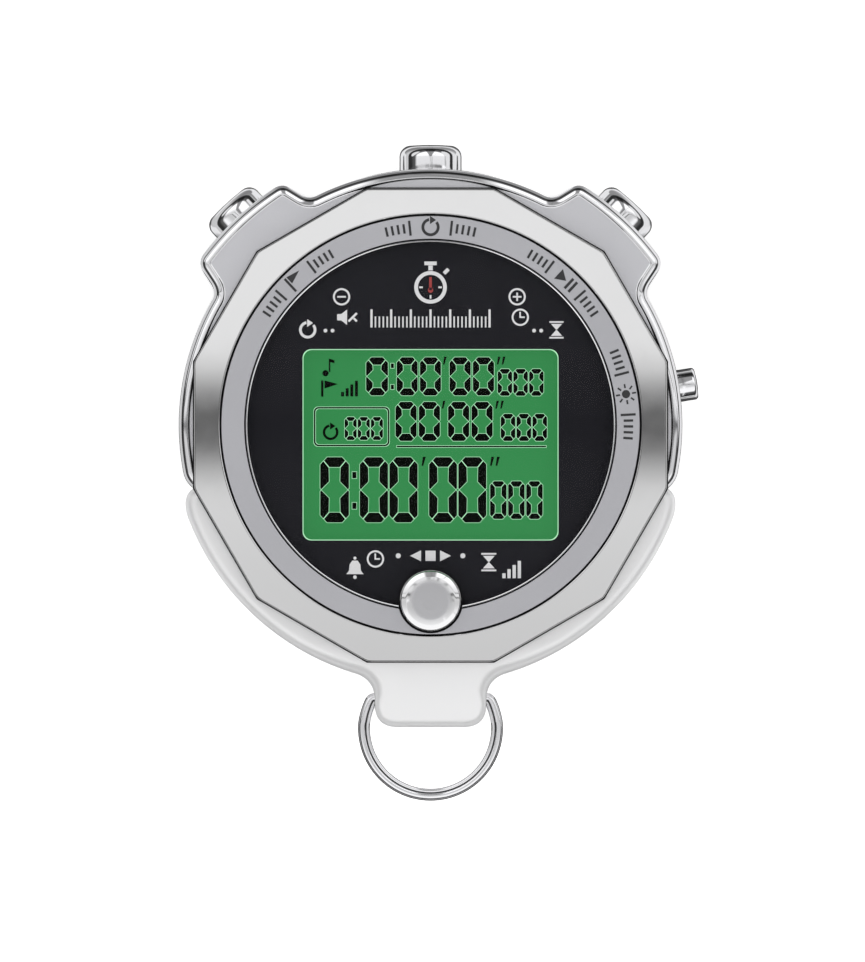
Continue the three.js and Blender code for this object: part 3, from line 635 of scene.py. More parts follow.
def lug_slope(y, start, knee, end):
    """0 before the start, then a soft knee into an even slope that reaches 1 at the end."""
    run = np.clip(-y - start, 0, None)
    bend = knee - start
    reach = end - start - bend / 2
    return np.where(run < bend, run * run / (2 * bend), run - bend / 2) / reach


def edge_drop(depth, rounding):
    """How far a quarter-round edge has fallen at a depth inside the outline."""
    inside = np.clip(rounding - depth, 0, rounding)
    return rounding - np.sqrt(rounding**2 - inside**2)


def outline_arrays():
    """The closed case outline, its outward normals, the rounding of its front edge, and its rim's step."""
    right = right_half_outline()
    left = [Vector((-p.x, p.y)) for p in reversed(right[1:-1])]
    points = np.array([tuple(p) for p in right + left])
    along = np.roll(points, -1, 0) - np.roll(points, 1, 0)
    along /= np.linalg.norm(along, axis=1)[:, None]
    normals = np.stack([-along[:, 1], along[:, 0]], 1)
    in_cup = clock_of(points[:, 0], points[:, 1]) > CUP_FROM_CLOCK - CUP_BLEND
    lug_share = smooth_share(-points[:, 1], LUG_ROUNDING_FROM, LUG_ROUNDING_TO)
    front = np.where(in_cup, CUP_ROUNDING - (CUP_ROUNDING - LUG_ROUNDING) * lug_share, EDGE_ROUNDING)
    step = np.where(in_cup, 0.0, RIM_STEP)
    return points, normals, front, step


def distance_inside(places, outline):
    """Shortest distance from each place to the outline's points."""
    return np.array([np.min(np.linalg.norm(outline - place, axis=1)) for place in places])


def case_rows():
    """Rows of the case's closed skin: front, rim, side, back edge, back, seat, cavity and opening."""
    outline, normals, front, step = outline_arrays()
    inner = outline - normals * RIM_DEPTH
    foot = outline - normals * (RIM_DEPTH + RIDGE)
    bearing = inner / np.linalg.norm(inner, axis=1)[:, None]

    def front_z(places, depth):
        slope = lug_slope(places[:, 1], LUG_SLOPE_FROM, LUG_SLOPE_KNEE, -LUG_END_Y)
        return FRONT_Z - LUG_DROP * slope - edge_drop(depth, front)

    def back_z(places, depth):
        rise = LUG_BACK_DROP * smooth_share(-places[:, 1], LUG_BACK_FROM, LUG_BACK_TO)
        return BACK_Z + rise + edge_drop(depth, EDGE_ROUNDING)

    def row(places, z):
        return np.column_stack([places, np.broadcast_to(z, len(places))])

    rows = []
    opening = bearing * OPENING_RADIUS
    for i in range(FLAT_STEPS + 1):
        share = (i / FLAT_STEPS) ** 0.8
        places = opening + (foot - opening) * share
        depth = distance_inside(places, outline) if i else FAR_INSIDE
        rows.append(row(places, front_z(places, depth) - step))
    for share, height in RIDGE_STEPS:
        places = foot + (inner - foot) * share
        depth = RIM_DEPTH + RIDGE * (1 - share)
        rows.append(row(places, front_z(places, depth) - step * (1 - height)))
    angles = [math.pi / 2 * i / RIM_STEPS for i in range(1, RIM_STEPS + 1)]
    for angle in angles:
        depth = RIM_DEPTH * (1 - math.sin(angle))
        places = outline - normals * depth
        rows.append(row(places, front_z(places, depth)))
    top = rows[-1][:, 2]
    bottom = back_z(outline, 0.0)
    for i in range(1, SIDE_STEPS):
        rows.append(row(outline, top + (bottom - top) * i / SIDE_STEPS))
    for angle in reversed([0.0] + angles):
        depth = RIM_DEPTH * (1 - math.sin(angle))
        places = outline - normals * depth
        rows.append(row(places, back_z(places, depth)))
    seat = bearing * BACK_SEAT_RADIUS
    for i in range(1, 6):
        places = inner + (seat - inner) * i / 6
        rows.append(row(places, back_z(places, distance_inside(places, outline))))
    for radius, z in (
        (BACK_SEAT_RADIUS, BACK_Z),
        (BACK_SEAT_RADIUS, BACK_SEAT_Z),
        (CAVITY_RADIUS, BACK_SEAT_Z),
        (CAVITY_RADIUS, BOARD_STEP_Z),
        (OPENING_RADIUS, BOARD_STEP_Z),
    ):
        rows.append(row(bearing * radius, z))
    return rows


def pusher_bore(clock, radius, seat):
    """A cutter for the bores of a pusher's cap and stem."""
    bore = radius + BORE_CLEARANCE
    stem = 2.1 if is_large(radius) else 1.5
    profile = [(0, 24), (stem, 24), (stem, seat), (bore, seat), (bore, 42), (0, 42)]
    return place(lathe("bore", profile, SMALL_ROUND), radial_matrix(clock))


def build_case():
    """The case, satin in front, polished at its rim and side, and pearl below."""
    rows = case_rows()
    case = grid_object("case_shell", rows, 40)
    width = len(rows[0])
    for look in ("chrome", "satin", "pearl"):
        case.data.materials.append(MATERIALS[look])
    outline_clock = clock_of(rows[0][:, 0], rows[0][:, 1])
    for polygon in case.data.polygons:
        row_index, column = divmod(min(polygon.vertices), width)
        if outline_clock[column] > CUP_FROM_CLOCK - 2 * CUP_BLEND:
            polygon.material_index = 2
        elif row_index < FLAT_STEPS:
            polygon.material_index = 1
    cross_hole = lathe("hole", section(0, 0.8, -10, 10), 32)
    turn = Matrix.Translation((0, BAIL_PIVOT_Y, BAIL_Z)) @ Matrix.Rotation(math.pi / 2, 4, "Y")
    bores = [pusher_bore(clock, radius, seat) for clock, radius, _, _, seat in PUSHERS.values()]
    cut(case, bores + [place(cross_hole, turn)], 40)
    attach(case, "case")
    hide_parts("case_body")


# ---------- bezel, ring, lens and dial ----------

BEZEL_SIDES = 12
BEZEL_ANGLES = [2 * math.pi * i / 360 for i in range(360)]


def polygon_row(apothem, z, soft=0.0):
    """One loop of a twelve-sided outline, with its corners eased by a small amount."""
    row = []
    sector = 2 * math.pi / BEZEL_SIDES
    for angle in BEZEL_ANGLES:
        offset = (angle + sector / 2) % sector - sector / 2
        radius = min(apothem / math.cos(offset), apothem / math.cos(sector / 2) - soft)
        row.append((radius * math.cos(angle), radius * math.sin(angle), z))
    return row


def circle_row(radius, z):
    return [(radius * math.cos(angle), radius * math.sin(angle), z) for angle in BEZEL_ANGLES]


def build_bezel():
    """A twelve-sided plate with a chamfered edge, a round spigot and a ledge under the lens."""
    chamfer, ease = 0.14, 0.03
    top = BEZEL_HIGH.z
    seat = RING_OUTER + 0.2
    foot, edge = BEZEL_APOTHEM - 0.8, BEZEL_APOTHEM - chamfer
    sections = [(foot, BEZEL_FOOT_Z), (foot, SEAL_TOP), (BEZEL_APOTHEM, SEAL_TOP)]
    sections += fillet([
        (BEZEL_APOTHEM, SEAL_TOP + 0.1), (BEZEL_APOTHEM, top - chamfer, ease),
        (edge, top, ease), (edge - 0.1, top), (BEZEL_APOTHEM - 1.0, top),
    ], 3)
    rows = [polygon_row(apothem, z, 0.05) for apothem, z in sections]
    lip = fillet([(seat + 0.6, top), (seat + 0.22, top), (seat, top, 0.12), (seat, 18.4)], 4)
    ledge = [(seat, LEDGE_TOP), (LEDGE_RADIUS, LEDGE_TOP), (LEDGE_RADIUS, BEZEL_LOW.z)]
    spigot = [(SPIGOT_RADIUS, BEZEL_LOW.z), (SPIGOT_RADIUS, BEZEL_FOOT_Z)]
    rows += [circle_row(radius, z) for radius, z in lip + ledge + spigot]
    bezel = grid_object("bezel_plate", rows, 22)
    cut(bezel, [mode_hole(MODE_STEM_BORE)], 22)
    even_normals(bezel)
    finish_piece(bezel, "case", "bezel engraved", "satin_chrome", "bezel")
    # The lip's inner wall and the ledge take the dark second material: painted shade in the gap beside the
    # ring.
    paint_second(bezel, lambda middle: middle.xy.length < seat + 0.05 and middle.z < top - 0.2)


def build_bezel_seal_and_shade():
    """The rubber seal around the foot of the bezel, whose black showing line is painted shade for the gap
    under the bezel.
    """
    inner, outer = BEZEL_APOTHEM - 0.75, BEZEL_APOTHEM + SEAL_SHOWS
    low, high = FRONT_Z - RIM_STEP + 0.01, SEAL_TOP - 0.05
    sections = [(inner, low), (outer, low), (outer, high - 0.1), (outer - 0.1, high), (inner, high)]
    seal = grid_object("bezel_seal_and_shade_ring", [polygon_row(apothem, z) for apothem, z in sections])
    finish_piece(seal, "case", "seal", "rubber", "bezel_seal")


def build_ring():
    """The satin ring, which slopes down to the lens, with a notch for the front button."""
    low, high, inner_high = RING_LOW.z, RING_HIGH.z, LENS_HIGH.z + 0.02
    corners = [(RING_INNER, low), (RING_OUTER, low), (RING_OUTER, high, 0.12), (RING_INNER, inner_high, 0.08)]
    ring = lathe("ring_plate", fillet(corners, 4, True))
    cut(ring, [mode_hole(RING_NOTCH)])
    even_normals(ring)
    finish_piece(ring, "case", "ring", "ring_satin", "dial_ring")


def build_mode_lobe():
    """The lobe of the bezel's ledge that guides the front button's stem."""
    profile = section(MODE_STEM_BORE, MODE_LOBE_RADIUS, BEZEL_LOW.z, LEDGE_TOP)
    lobe = place(lathe("mode_lobe", profile, SMALL_ROUND), MODE_PLACE)
    finish_piece(lobe, "case", "bezel", "satin_chrome")


def build_mode_shade_sleeve():
    """A dark sleeve in the hole that the front button moves in: painted shade in that gap."""
    profile = section(MODE_CAP_RADIUS + 0.05, RING_NOTCH - 0.03, SLEEVE_LOW, SLEEVE_HIGH)
    sleeve = place(lathe("mode_shade_sleeve", profile, SMALL_ROUND), MODE_PLACE)
    finish_piece(sleeve, "case", "seal", "rubber")


def mode_hole(radius):
    """A cutter for a hole around the front button."""
    return place(lathe("mode_hole", section(0, radius, CUT_LOW, CUT_HIGH), SMALL_ROUND), MODE_PLACE)


def build_lens():
    """The clear window, with a polished edge."""
    low, high = LENS_LOW.z, LENS_HIGH.z
    corners = [(0, low), (LENS_RADIUS, low), (LENS_RADIUS, high, 0.22), (0, high)]
    lens = lathe("lens_window", fillet(corners, 4))
    cut(lens, [mode_hole(MODE_OPENING)])
    finish_piece(lens, "case", "lens lens_edge", "clear_lens", "lens")
    paint_second(lens, lambda middle: middle.xy.length > LENS_RADIUS - 0.3)


def rounded_rectangle(x, y, width, height, radius, steps=8):
    a, b = width / 2, height / 2
    corners = [(x - a, y - b, radius), (x + a, y - b, radius), (x + a, y + b, radius), (x - a, y + b, radius)]
    return fillet(corners, steps, True)


def build_dial():
    """The black plate, with a window for the display and a hole for the front button."""
    dial = lathe("dial_face", section(0, LENS_RADIUS, DIAL_LOW.z, DIAL_HIGH.z))
    window = rounded_rectangle(0, WINDOW_Y, WINDOW_WIDTH, WINDOW_HEIGHT, WINDOW_CORNER)
    cut(dial, [prisms("window", [window], CUT_LOW, CUT_HIGH), mode_hole(MODE_OPENING)])
    finish_piece(dial, "case", "black", "black_print", "dial_plate")


# ---------- printed and engraved marks ----------

# A mark is a list of closed loops. A loop inside another is a hole.

MERGE_METRES = 1e-7


def bar(x, y, width, height, turn=0.0):
    a, b = width / 2, height / 2
    return moved(shape([(-a, -b), (a, -b), (a, b), (-a, b)]), x, y, 1.0, turn)


def dot(x, y, radius, count=28):
    angles = [2 * math.pi * i / count for i in range(count)]
    return [[Vector((x + radius * math.cos(a), y + radius * math.sin(a))) for a in angles]]


def hoop(x, y, outer, inner):
    return dot(x, y, outer, 48) + dot(x, y, inner, 48)


def band(x, y, outer, inner, start, end):
    """Part of a hoop, between two angles in degrees."""
    steps = max(6, int(abs(end - start) / 8))
    angles = [math.radians(start + (end - start) * i / steps) for i in range(steps + 1)]
    out = [Vector((x + outer * math.cos(a), y + outer * math.sin(a))) for a in angles]
    back = [Vector((x + inner * math.cos(a), y + inner * math.sin(a))) for a in reversed(angles)]
    return [out + back]


def shape(points):
    return [[Vector(p) for p in points]]


def moved(mark, x, y, size=1.0, turn=0.0):
    spin = Matrix.Rotation(math.radians(turn), 2)
    return [[spin @ (p * size) + Vector((x, y)) for p in loop] for loop in mark]


def marks_object(name, marks, z0, z1):
    """Turns loops into one thin solid layer between two heights."""
    curve = bpy.data.curves.new(name, "CURVE")
    curve.dimensions = "2D"
    curve.fill_mode = "BOTH"
    curve.extrude = (z1 - z0) / 2 * MM
    for loop in marks:
        spline = curve.splines.new("POLY")
        spline.points.add(len(loop) - 1)
        for point, corner in zip(spline.points, loop):
            point.co = (corner[0] * MM, corner[1] * MM, 0, 1)
        spline.use_cyclic_u = True
    holder = linked(name + "_curve", curve)
    mesh = bpy.data.meshes.new_from_object(holder.evaluated_get(bpy.context.evaluated_depsgraph_get()))
    bpy.data.objects.remove(holder)
    mesh.name = name
    face_outward(mesh, MERGE_METRES)
    made = linked(name, mesh)
    return place(made, Matrix.Translation((0, 0, (z0 + z1) / 2)))


def watch_icon():
    """A small generic stopwatch: ring, crown and side pusher. Its hand is printed apart, in red."""
    marks = hoop(0, 0, 1.85, 1.42) + bar(0, 2.2, 0.5, 0.56) + bar(0, 2.72, 1.4, 0.42)
    marks += bar(1.78, 1.82, 0.42, 0.7, -45)
    for angle in (0, 180, 270):
        turn = math.radians(angle)
        marks += bar(1.08 * math.cos(turn), 1.08 * math.sin(turn), 0.4, 0.2, angle)
    return marks


def watch_hand():
    return bar(0, 0.42, 0.3, 1.5) + dot(0, -0.32, 0.3)


def play_icon():
    return shape([(-1.1, -0.75), (0.1, 0), (-1.1, 0.75)]) + bar(0.55, 0, 0.32, 1.5) + bar(1.15, 0, 0.32, 1.5)


def flag_icon():
    return bar(-0.75, 0, 0.26, 1.8) + shape([(-0.5, 0.9), (1.0, 0.5), (-0.5, 0.0)])


def return_icon():
    arrow = shape([(0.35, 1.35), (0.35, 0.35), (1.1, 0.85)])
    return band(0, 0, 1.05, 0.72, 100, 400) + moved(arrow, -0.4, 0.02, 0.95)


def lamp_icon():
    marks = dot(0, 0, 0.5)
    for i in range(8):
        angle = math.radians(45 * i)
        marks += bar(0.98 * math.cos(angle), 0.98 * math.sin(angle), 0.5, 0.2, 45 * i)
    return marks


def speaker_icon():
    marks = shape([(-1.1, -0.35), (-0.65, -0.35), (0.0, -0.85), (0.0, 0.85), (-0.65, 0.35), (-1.1, 0.35)])
    return marks + bar(0.62, 0.0, 1.3, 0.24, 45) + bar(0.9, -0.28, 0.5, 0.24, -45)


def bell_icon():
    right = [(0.95, -0.55), (0.65, -0.15), (0.6, 0.5), (0.3, 0.95)]
    marks = shape([(-0.95, -0.55)] + right + [(-x, y) for x, y in reversed(right[1:])])
    return marks + dot(0, -0.88, 0.2) + dot(0, 1.22, 0.17)


def glass_icon():
    top = shape([(-0.75, 0.8), (0.75, 0.8), (0.06, 0.03), (-0.06, 0.03)])
    low = shape([(-0.06, -0.03), (0.06, -0.03), (0.75, -0.8), (-0.75, -0.8)])
    return top + low + bar(0, 1.05, 1.9, 0.22) + bar(0, -1.05, 1.9, 0.22)


def clock_icon():
    return hoop(0, 0, 1.1, 0.86) + bar(-0.02, 0.3, 0.2, 0.78) + bar(0.32, 0.0, 0.5, 0.2)


def dots_icon():
    return dot(-0.45, 0, 0.24) + dot(0.45, 0, 0.24)


def note_icon():
    stem_and_flag = [(-0.03, -0.65), (0.17, -0.65), (0.17, 0.62), (0.7, 0.45), (0.7, 0.85), (-0.03, 1.08)]
    return dot(-0.45, -0.8, 0.4) + shape(stem_and_flag)


def pace_icon():
    marks = []
    for i, height in enumerate((0.6, 1.1, 1.6, 2.1)):
        marks += bar(i * 0.62 - 0.93, height / 2 - 1, 0.4, height)
    return marks


WATCH_SIGN = (0.0, 17.5, 1.12)
# sign, x, y, size
DIAL_SIGNS = (
    (speaker_icon, -10.6, 13.7, 1.15), (return_icon, -15.6, 12.1, 1.05), (dots_icon, -12.9, 12.0, 1.0),
    (clock_icon, 11.4, 13.7, 1.0), (glass_icon, 16.0, 12.1, 0.95), (dots_icon, 13.6, 12.0, 1.0),
    (clock_icon, -7.0, -17.0, 1.0), (bell_icon, -9.6, -18.3, 1.15),
    (glass_icon, 7.4, -17.4, 1.0), (pace_icon, 10.3, -18.4, 1.05),
)
CIRCLE_Y = 16.3
ARROWS_Y = -16.6


def dial_marks():
    """White print: a stopwatch sign, a seconds scale, two signs in circles and a sign for each function."""
    marks = moved(watch_icon(), *WATCH_SIGN)
    for i in range(31):
        long_tick = i % 5 == 0
        height = 2.3 if long_tick else 1.4
        marks += bar((i - 15) * 0.5, 12.4 + height / 2, 0.28 if long_tick else 0.19, height)
    for x, upright in ((-11.3, False), (11.0, True)):
        marks += hoop(x, CIRCLE_Y, 1.1, 0.85) + bar(x, CIRCLE_Y, 1.1, 0.22)
        if upright:
            marks += bar(x, CIRCLE_Y + 0.33, 0.22, 0.4) + bar(x, CIRCLE_Y - 0.33, 0.22, 0.4)
    for icon, x, y, size in DIAL_SIGNS:
        marks += moved(icon(), x, y, size)
    for side in (-1, 1):
        marks += dot(side * 4.1, ARROWS_Y, 0.32)
        marks += shape([(side * 1.2, ARROWS_Y + 0.7), (side * 2.6, ARROWS_Y), (side * 1.2, ARROWS_Y - 0.7)])
    return marks + bar(0, ARROWS_Y, 1.3, 1.3)


# clock angle, sign, size
RING_SIGNS = (
    (0.0, return_icon, 1.1), (43.0, play_icon, 1.1), (-43.0, flag_icon, 1.2), (81.0, lamp_icon, 1.05),
)


def ring_marks():
    """Signs cut into the ring beside the pusher that each one names."""
    radius = (RING_OUTER + RING_INNER) / 2
    marks = []
    for clock, icon, size in RING_SIGNS:
        centre = at(radius, clock)
        marks += moved(icon(), centre.x, centre.y, size, -clock)
        for side in (-1, 1):
            for i in range(5):
                bearing = clock + side * (6.0 + 1.7 * i)
                beside = at(radius, bearing)
                marks += bar(beside.x, beside.y, 0.3, 1.9 if i == 0 else 1.2, -bearing)
    return marks


PRINT_LAYER = (0.005, 0.03)
ENGRAVING_LAYER = (-0.12, 0.0)


def build_prints():
    """The dial's print, in white and red, and the signs cut into the ring."""
    dial, ring = DIAL_HIGH.z, RING_HIGH.z
    hand = moved(watch_hand(), *WATCH_SIGN)
    for name, marks, surface, (start, end), look, slot in (
        ("dial_print", dial_marks(), dial, PRINT_LAYER, "mark", "black_print"),
        ("dial_hand_print", hand, dial, PRINT_LAYER, "red_mark", "black_print"),
        ("ring_engraving", ring_marks(), ring, ENGRAVING_LAYER, "engraved", "ring_satin"),
    ):
        finish_piece(marks_object(name, marks, surface + start, surface + end), "case", look, slot)


# ---------- display ----------


def segment_shapes(x, y, width, height):
    """The six lit segments of a seven-segment zero, lower left corner at (x, y)."""
    gap = 0.02 + 0.01 * width
    half = height / 2
    stroke_x, stroke_y = 0.31 * width, 0.36 * width
    cut_x, cut_y = 0.24 * width, 0.26 * width
    joint = Vector((stroke_x - cut_x / 2, cut_y / 2 - stroke_y))
    apart = Vector((-joint.y, joint.x)).normalized() * gap
    outer_end = Vector((cut_x / 2, height - cut_y / 2))
    inner_end = Vector((stroke_x, height - stroke_y))
    top = [(cut_x, height), (width - cut_x, height)]
    top += [(width - p.x, p.y) for p in (outer_end + apart, inner_end + apart)]
    top += [inner_end + apart, outer_end + apart]
    side = [outer_end - apart, inner_end - apart, (stroke_x, half + 0.29 * width), (0.04 * width, half + gap),
            (0, half + 0.04 * width + gap), (0, height - cut_y)]
    loops = [top, side, [(width - px, py) for px, py in side]]
    loops += [[(px, height - py) for px, py in loop] for loop in loops]
    return [[Vector((x + px, y + py)) for px, py in loop] for loop in loops]


def digit_run(x, y, width, height, pitch, count):
    return [loop for i in range(count) for loop in segment_shapes(x + i * pitch, y, width, height)]


def quote_marks(x, y, height, count):
    wedge = shape([(-0.16, -0.5), (0.02, -0.5), (0.3, 0.5), (-0.02, 0.5)])
    return [loop for i in range(count) for loop in moved(wedge, x + i * height * 0.62, y, height)]


EDGE_LINE = 0.055
# How far the panel's top is below the CAD's, and the layers of print above it, from and to.
PANEL_DROP = 0.04
EDGE_LAYER = (0.002, 0.008)
DIGIT_LAYER = (0.012, 0.03)
# x, y, size and count of the minute and second ticks
TICKS = (
    (1.75, 8.2, 1.0, 1), (8.6, 8.2, 1.0, 2), (1.6, 2.6, 1.0, 1), (8.4, 2.6, 1.0, 2),
    (-0.95, -4.6, 1.15, 1), (7.75, -4.6, 1.15, 2),
)
COUNTER_X, COUNTER_Y = -10.03, -0.19

# x, y, digit width, digit height, pitch, count
DIGIT_RUNS = (
    (-8.20, 3.76, 2.80, 4.88, 0.0, 1),
    (-4.31, 3.76, 2.68, 4.88, 2.96, 2),
    (2.41, 3.76, 2.70, 4.88, 2.97, 2),
    (8.53, 3.72, 1.84, 3.44, 2.0, 3),
    (-4.46, -2.02, 2.70, 4.99, 2.97, 2),
    (2.22, -2.02, 2.70, 4.99, 2.98, 2),
    (8.92, -2.02, 1.85, 3.47, 2.02, 3),
    (-10.92, -1.90, 1.53, 2.95, 1.67, 3),
    (-14.03, -12.38, 3.67, 8.32, 0.0, 1),
    (-9.00, -12.38, 3.60, 8.32, 3.77, 2),
    (-0.20, -12.38, 3.57, 8.32, 3.73, 2),
    (7.56, -11.94, 2.10, 4.83, 2.30, 3),
)


def number_marks():
    """Three rows of zeros with their colons and a line under the middle row."""
    marks = [loop for run in DIGIT_RUNS for loop in digit_run(*run)]
    for x, y, rise, size in ((-4.85, 6.2, 1.35, 0.4), (-9.68, -8.3, 1.95, 0.55)):
        marks += bar(x, y + rise, size, size * 1.5) + bar(x, y - rise, size, size * 1.5)
    return marks + bar(5.2, -2.72, 19.0, 0.2)


def counter_box(outset):
    """The rounded line around the small counter, or its pale edge when set out."""
    outer = rounded_rectangle(COUNTER_X, COUNTER_Y, 9.6 + 2 * outset, 5.0 + 2 * outset, 0.6)
    inner = rounded_rectangle(COUNTER_X, COUNTER_Y, 9.2 - 2 * outset, 4.6 - 2 * outset, 0.45)
    return [outer, inner]


def sign_marks():
    """Minute and second ticks, the counter's box and small signs."""
    marks = counter_box(0)
    for ticks in TICKS:
        marks += quote_marks(*ticks)
    marks += moved(flag_icon(), -12.9, 4.65, 1.15) + moved(pace_icon(), -10.3, 4.6, 0.95)
    return marks + moved(note_icon(), -12.9, 7.4) + moved(return_icon(), -12.7, -0.9, 0.95)


def widened(loop, amount):
    """A closed loop pushed outwards by an amount."""
    ahead = loop[1:] + loop[:1]
    area = sum(here.x * there.y - there.x * here.y for here, there in zip(loop, ahead))
    side = 1 if area > 0 else -1
    wide = []
    for i in range(len(loop)):
        before = (loop[i] - loop[i - 1]).normalized()
        after = (ahead[i] - loop[i]).normalized()
        out = Vector((before.y + after.y, -before.x - after.x)) * side
        out.normalize()
        facing = max(0.5, out.dot(Vector((after.y, -after.x)) * side))
        wide.append(loop[i] + out * (amount / facing))
    return wide


def build_display():
    """The green panel, the pale edges of its digits and boxes, and the dark digits and signs."""
    low, high = LCD_LOW, LCD_HIGH
    top = high.z - PANEL_DROP
    outline = rounded_rectangle(0, (low.y + high.y) / 2, high.x - low.x, high.y - low.y, 0.3, 3)
    finish_piece(prisms("lcd_panel", [outline], low.z, top), "case", "display", "display", "lcd_glass")
    numbers = number_marks()
    wide_numbers = [widened(loop, EDGE_LINE) for loop in numbers]
    rims = counter_box(EDGE_LINE)
    for grow in (0.1, -0.2):
        rims.append(rounded_rectangle(0, WINDOW_Y, WINDOW_WIDTH + grow, WINDOW_HEIGHT + grow, WINDOW_CORNER))
    for builder, name, marks, look, (start, end) in (
        (prisms, "lcd_pale_edges", wide_numbers, "halo", EDGE_LAYER),
        (marks_object, "lcd_pale_rims", rims, "halo", EDGE_LAYER),
        (prisms, "lcd_digits", numbers, "segment", DIGIT_LAYER),
        (marks_object, "lcd_signs", sign_marks(), "segment", DIGIT_LAYER),
    ):
        finish_piece(builder(name, marks, top + start, top + end), "case", look, "display")


# ---------- pushers ----------


def stem_of(name, radius, low, underside):
    """A pusher's stem, rounded at its inner end and reaching a little into the cap."""
    high = underside + 0.05
    profile = fillet([(0, low), (radius, low, 0.2), (radius, high), (0, high)], 4)
    return lathe(name + "_stem", profile, SMALL_ROUND)


def finish_pusher(name, cap, stem, matrix, cap_look):
    """Puts a pusher's cap and stem in place and gives both to the pusher's body."""
    finish_piece(place(cap, matrix), name + "_pusher", cap_look, "polished_chrome", name + "_button")
    finish_piece(place(stem, matrix), name + "_pusher", "chrome", "polished_chrome")


def build_side_pushers():
    """Each has a cap with a rounded rim and a slightly crowned face."""
    crown = 0.15
    for name, (clock, radius, face, underside, _) in PUSHERS.items():
        rounding = 1.6 if is_large(radius) else 0.45
        profile = fillet([
            (0, underside), (radius, underside, 0.12), (radius, face - crown, rounding),
            (radius * 0.3, face, 3.0), (0, face),
        ], 9)
        cap = lathe(name + "_cap", profile, CAP_ROUND, 50)
        stem = stem_of(name, min(1.5, radius - 1.15), STEM_LOW, underside)
        finish_pusher(name, cap, stem, radial_matrix(clock), "chrome")


def build_mode_button():
    """The front button: a broad face inside a sloping rim."""
    face, radius = MODE_HIGH.z, MODE_CAP_RADIUS
    profile = fillet([
        (0, MODE_UNDERSIDE), (radius, MODE_UNDERSIDE, 0.1), (radius, face - 0.5, 0.08),
        (radius - 0.12, face - 0.32, 0.08), (3.15, face - 0.13, 1.2), (2.4, face - 0.02, 1.2),
        (1.2, face, 3.0), (0, face),
    ], 7)
    cap = lathe("mode_cap", profile, CAP_ROUND, 60)
    stem = stem_of("mode", 1.5, MODE_STEM_LOW, MODE_UNDERSIDE)
    finish_pusher("mode", cap, stem, MODE_PLACE, "button")


# ---------- tubes: bail and springs ----------


def round_outline(radius, sides):
    angles = [2 * math.pi * k / sides for k in range(sides)]
    return [(radius * math.cos(angle), radius * math.sin(angle)) for angle in angles]


def tube(name, path, outline):
    """A closed wire along 3-D points. Its outline is a loop of (up, inward) offsets."""
    points = [Vector(p) for p in path]
    sides = len(outline)
    vertices, faces = [], []
    normal = Vector((0, 0, 1))
    for i, point in enumerate(points):
        ahead = points[min(i + 1, len(points) - 1)] - points[max(i - 1, 0)]
        ahead.normalize()
        normal = (normal - ahead * normal.dot(ahead)).normalized()
        across = ahead.cross(normal)
        vertices += [point + normal * up + across * inward for up, inward in outline]
    for i in range(len(points) - 1):
        for k in range(sides):
            j = (k + 1) % sides
            faces.append((i * sides + k, i * sides + j, (i + 1) * sides + j, (i + 1) * sides + k))
    last = (len(points) - 1) * sides
    faces += [tuple(reversed(range(sides))), tuple(range(last, last + sides))]
    return mesh_object(name, vertices, faces, 50)


def smooth_path(points, steps):
    """A Catmull-Rom curve through points."""
    padded = [points[0] * 2 - points[1]] + points + [points[-1] * 2 - points[-2]]
    path = []
    for i in range(1, len(padded) - 2):
        a, b, c, d = padded[i - 1 : i + 3]
        for k in range(steps):
            t = k / steps
            even, cubic = 2 * a - 5 * b + 4 * c - d, 3 * b - a - 3 * c + d
            path.append(0.5 * (2 * b + (c - a) * t + even * t * t + cubic * t**3))
    return path + [points[-1]]


BEAD_STEPS = 16
# The bail wire's large outer bead and small inner one: middle, radius, and where their arcs start and end.
BEADS = ((-0.2, 0.58, 58, 302), (0.44, 0.30, 235, 485))


def bead_outline():
    """The bail's wire, with a groove between its two beads."""
    outline = []
    for middle, radius, start, end in BEADS:
        for k in range(BEAD_STEPS + 1):
            angle = math.radians(start + (end - start) * k / BEAD_STEPS)
            outline.append((radius * math.sin(angle), middle + radius * math.cos(angle)))
    return outline


def build_bail():
    """The wire ring whose ends turn into the lug."""
    ends = [Vector((x, BAIL_PIVOT_Y - drop, BAIL_Z)) for x, drop in ((5.2, 0), (6.6, 0), (7.55, 0.12))]
    start, count = 6.0, 12
    ring = []
    for i in range(count + 1):
        angle = math.radians(start - (180 + 2 * start) * i / count)
        x, y = BAIL_RADIUS * math.cos(angle), BAIL_CENTRE_Y + BAIL_RADIUS * math.sin(angle)
        ring.append(Vector((x, y, BAIL_Z)))
    mirrored = [Vector((-p.x, p.y, p.z)) for p in reversed(ends)]
    outline = bead_outline()
    bail = tube("bail_wire", smooth_path(ends + ring + mirrored, 8), outline)
    finish_piece(bail, "bail", "chrome engraved", "polished_chrome", "bail_ring")
    # The faces of the groove between the two beads take the dark second material: painted shade in the
    # crease.
    for polygon in bail.data.polygons:
        columns = {corner % len(outline) for corner in polygon.vertices}
        if len(columns) == 2 and min(columns) in (0, BEAD_STEPS) and columns != {0, 1}:
            polygon.material_index = 1


def helix(radius, z0, z1, turns, steps_per_turn=24):
    count = int(turns * steps_per_turn)
    path = []
    for i in range(count + 1):
        angle = 2 * math.pi * turns * i / count
        path.append(Vector((radius * math.cos(angle), radius * math.sin(angle), z0 + (z1 - z0) * i / count)))
    return path


# A coil's radius, its wire's radius, its turns and the pusher's travel.
LARGE_SPRING = (2.5, 0.22, 4, 0.8)
SMALL_SPRING = (1.75, 0.12, 3, 0.6)
MODE_SPRING = (2.5, 0.22, 3, 0.6)
MODE_SPRING_LOW, MODE_SPRING_HIGH = 16.95, 19.35


